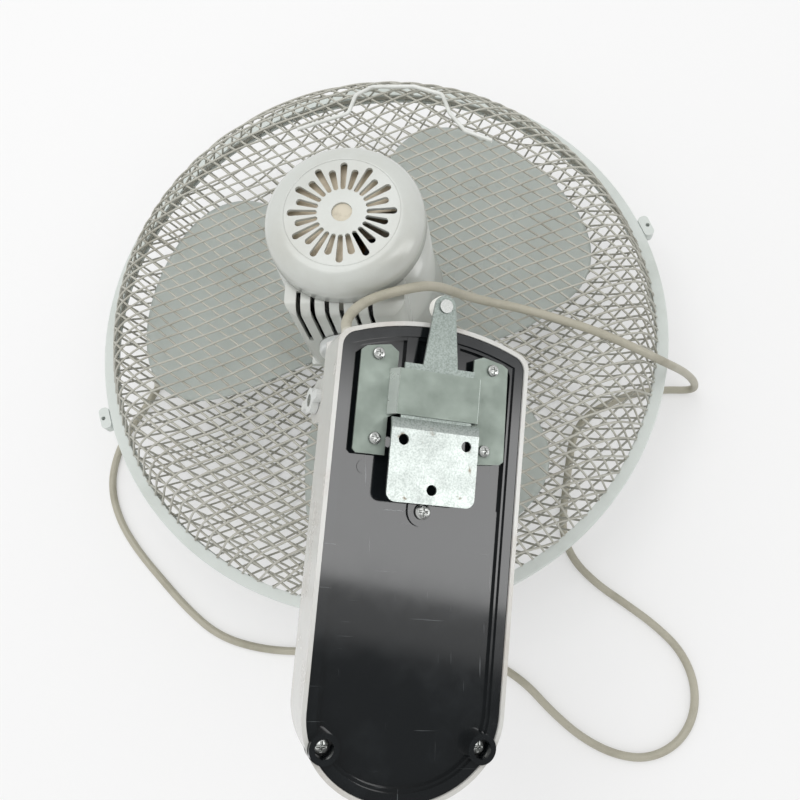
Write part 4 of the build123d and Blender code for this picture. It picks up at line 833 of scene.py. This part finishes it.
# The surround is nearly even. What gloss alone sees in it is a bright soft box to the right, which ends in
# a dim part of the room below it. Its edges are places along the way that a reflection leaves in, from -1
# to 1.
even_light, seen_light = 0.86, 1.0
box_slant = 0.05
box_low, box_high = (-0.2, -0.187), (0.0, 0.07)
box_left = (0.35, 0.6)
dim_below = (-0.26, -0.246)
box_light, dim_light = 3.6, -0.8
world = bpy.data.worlds.new("surround")
world.use_nodes = True
world.node_tree.nodes.clear()
ray = add_node(world, "LightPath")
looked = add_node(world, "Math", {0: ray.outputs["Is Camera Ray"], 1: ray.outputs["Is Glossy Ray"]},
                  operation="MAXIMUM")
looked = add_node(world, "Math", {0: looked.outputs[0], 1: ray.outputs["Is Transmission Ray"]},
                  operation="MAXIMUM")
way_out = add_node(world, "SeparateXYZ", {0: add_node(world, "TexCoord").outputs["Generated"]})
skewed = add_node(world, "Math", {0: way_out.outputs["X"], 1: box_slant, 2: way_out.outputs["Y"]},
                  operation="MULTIPLY_ADD")
over_edge = add_node(world, "MapRange", {"Value": skewed.outputs[0], "From Min": box_low[0],
                                         "From Max": box_low[1]})
under_top = add_node(world, "MapRange", {"Value": skewed.outputs[0], "From Min": box_high[0],
                                         "From Max": box_high[1], "To Min": 1.0, "To Max": 0.0})
to_right = add_node(world, "MapRange", {"Value": way_out.outputs["X"], "From Min": box_left[0],
                                        "From Max": box_left[1]})
box_share = add_node(world, "Math", {0: over_edge.outputs[0], 1: under_top.outputs[0]}, operation="MULTIPLY")
box_share = add_node(world, "Math", {0: box_share.outputs[0], 1: to_right.outputs[0]}, operation="MULTIPLY")
dim_share = add_node(world, "MapRange", {"Value": skewed.outputs[0], "From Min": dim_below[0],
                                         "From Max": dim_below[1], "To Min": 1.0, "To Max": 0.0})
dim_share = add_node(world, "Math", {0: dim_share.outputs[0], 1: to_right.outputs[0]}, operation="MULTIPLY")
gloss_level = add_node(world, "Math", {0: box_share.outputs[0], 1: box_light, 2: seen_light},
                       operation="MULTIPLY_ADD")
gloss_level = add_node(world, "Math", {0: dim_share.outputs[0], 1: dim_light, 2: gloss_level.outputs[0]},
                       operation="MULTIPLY_ADD")
even = add_node(world, "MapRange", {"Value": looked.outputs[0], "To Min": even_light, "To Max": seen_light})
level = add_node(world, "Mix", {0: ray.outputs["Is Glossy Ray"], 2: even.outputs[0],
                                3: gloss_level.outputs[0]}, data_type="FLOAT")
surround = add_node(world, "Background", {"Color": (1, 1, 1, 1), "Strength": level.outputs[0]})
add_node(world, "OutputWorld", {"Surface": surround.outputs[0]})
bpy.context.scene.world = world

lamp_place, lamp_aim = Vector((-0.3, 0.3, 1.7)), Vector((0, -0.05, 0.1))
lamp_data = bpy.data.lights.new("soft_lamp", "AREA")
lamp_data.shape = "RECTANGLE"
lamp_data.size = 1.1
lamp_data.size_y = 0.8
lamp_data.energy = 7.0
lamp = bpy.data.objects.new("soft_lamp", lamp_data)
lamp.location = lamp_place
lamp.rotation_euler = (lamp_aim - lamp_place).to_track_quat("-Z", "Y").to_euler()
bpy.context.scene.collection.objects.link(lamp)

bpy.context.scene.view_settings.view_transform = "Standard"

# ---- Update ----
# The scene's transforms are brought up to date.
bpy.context.view_layer.update()
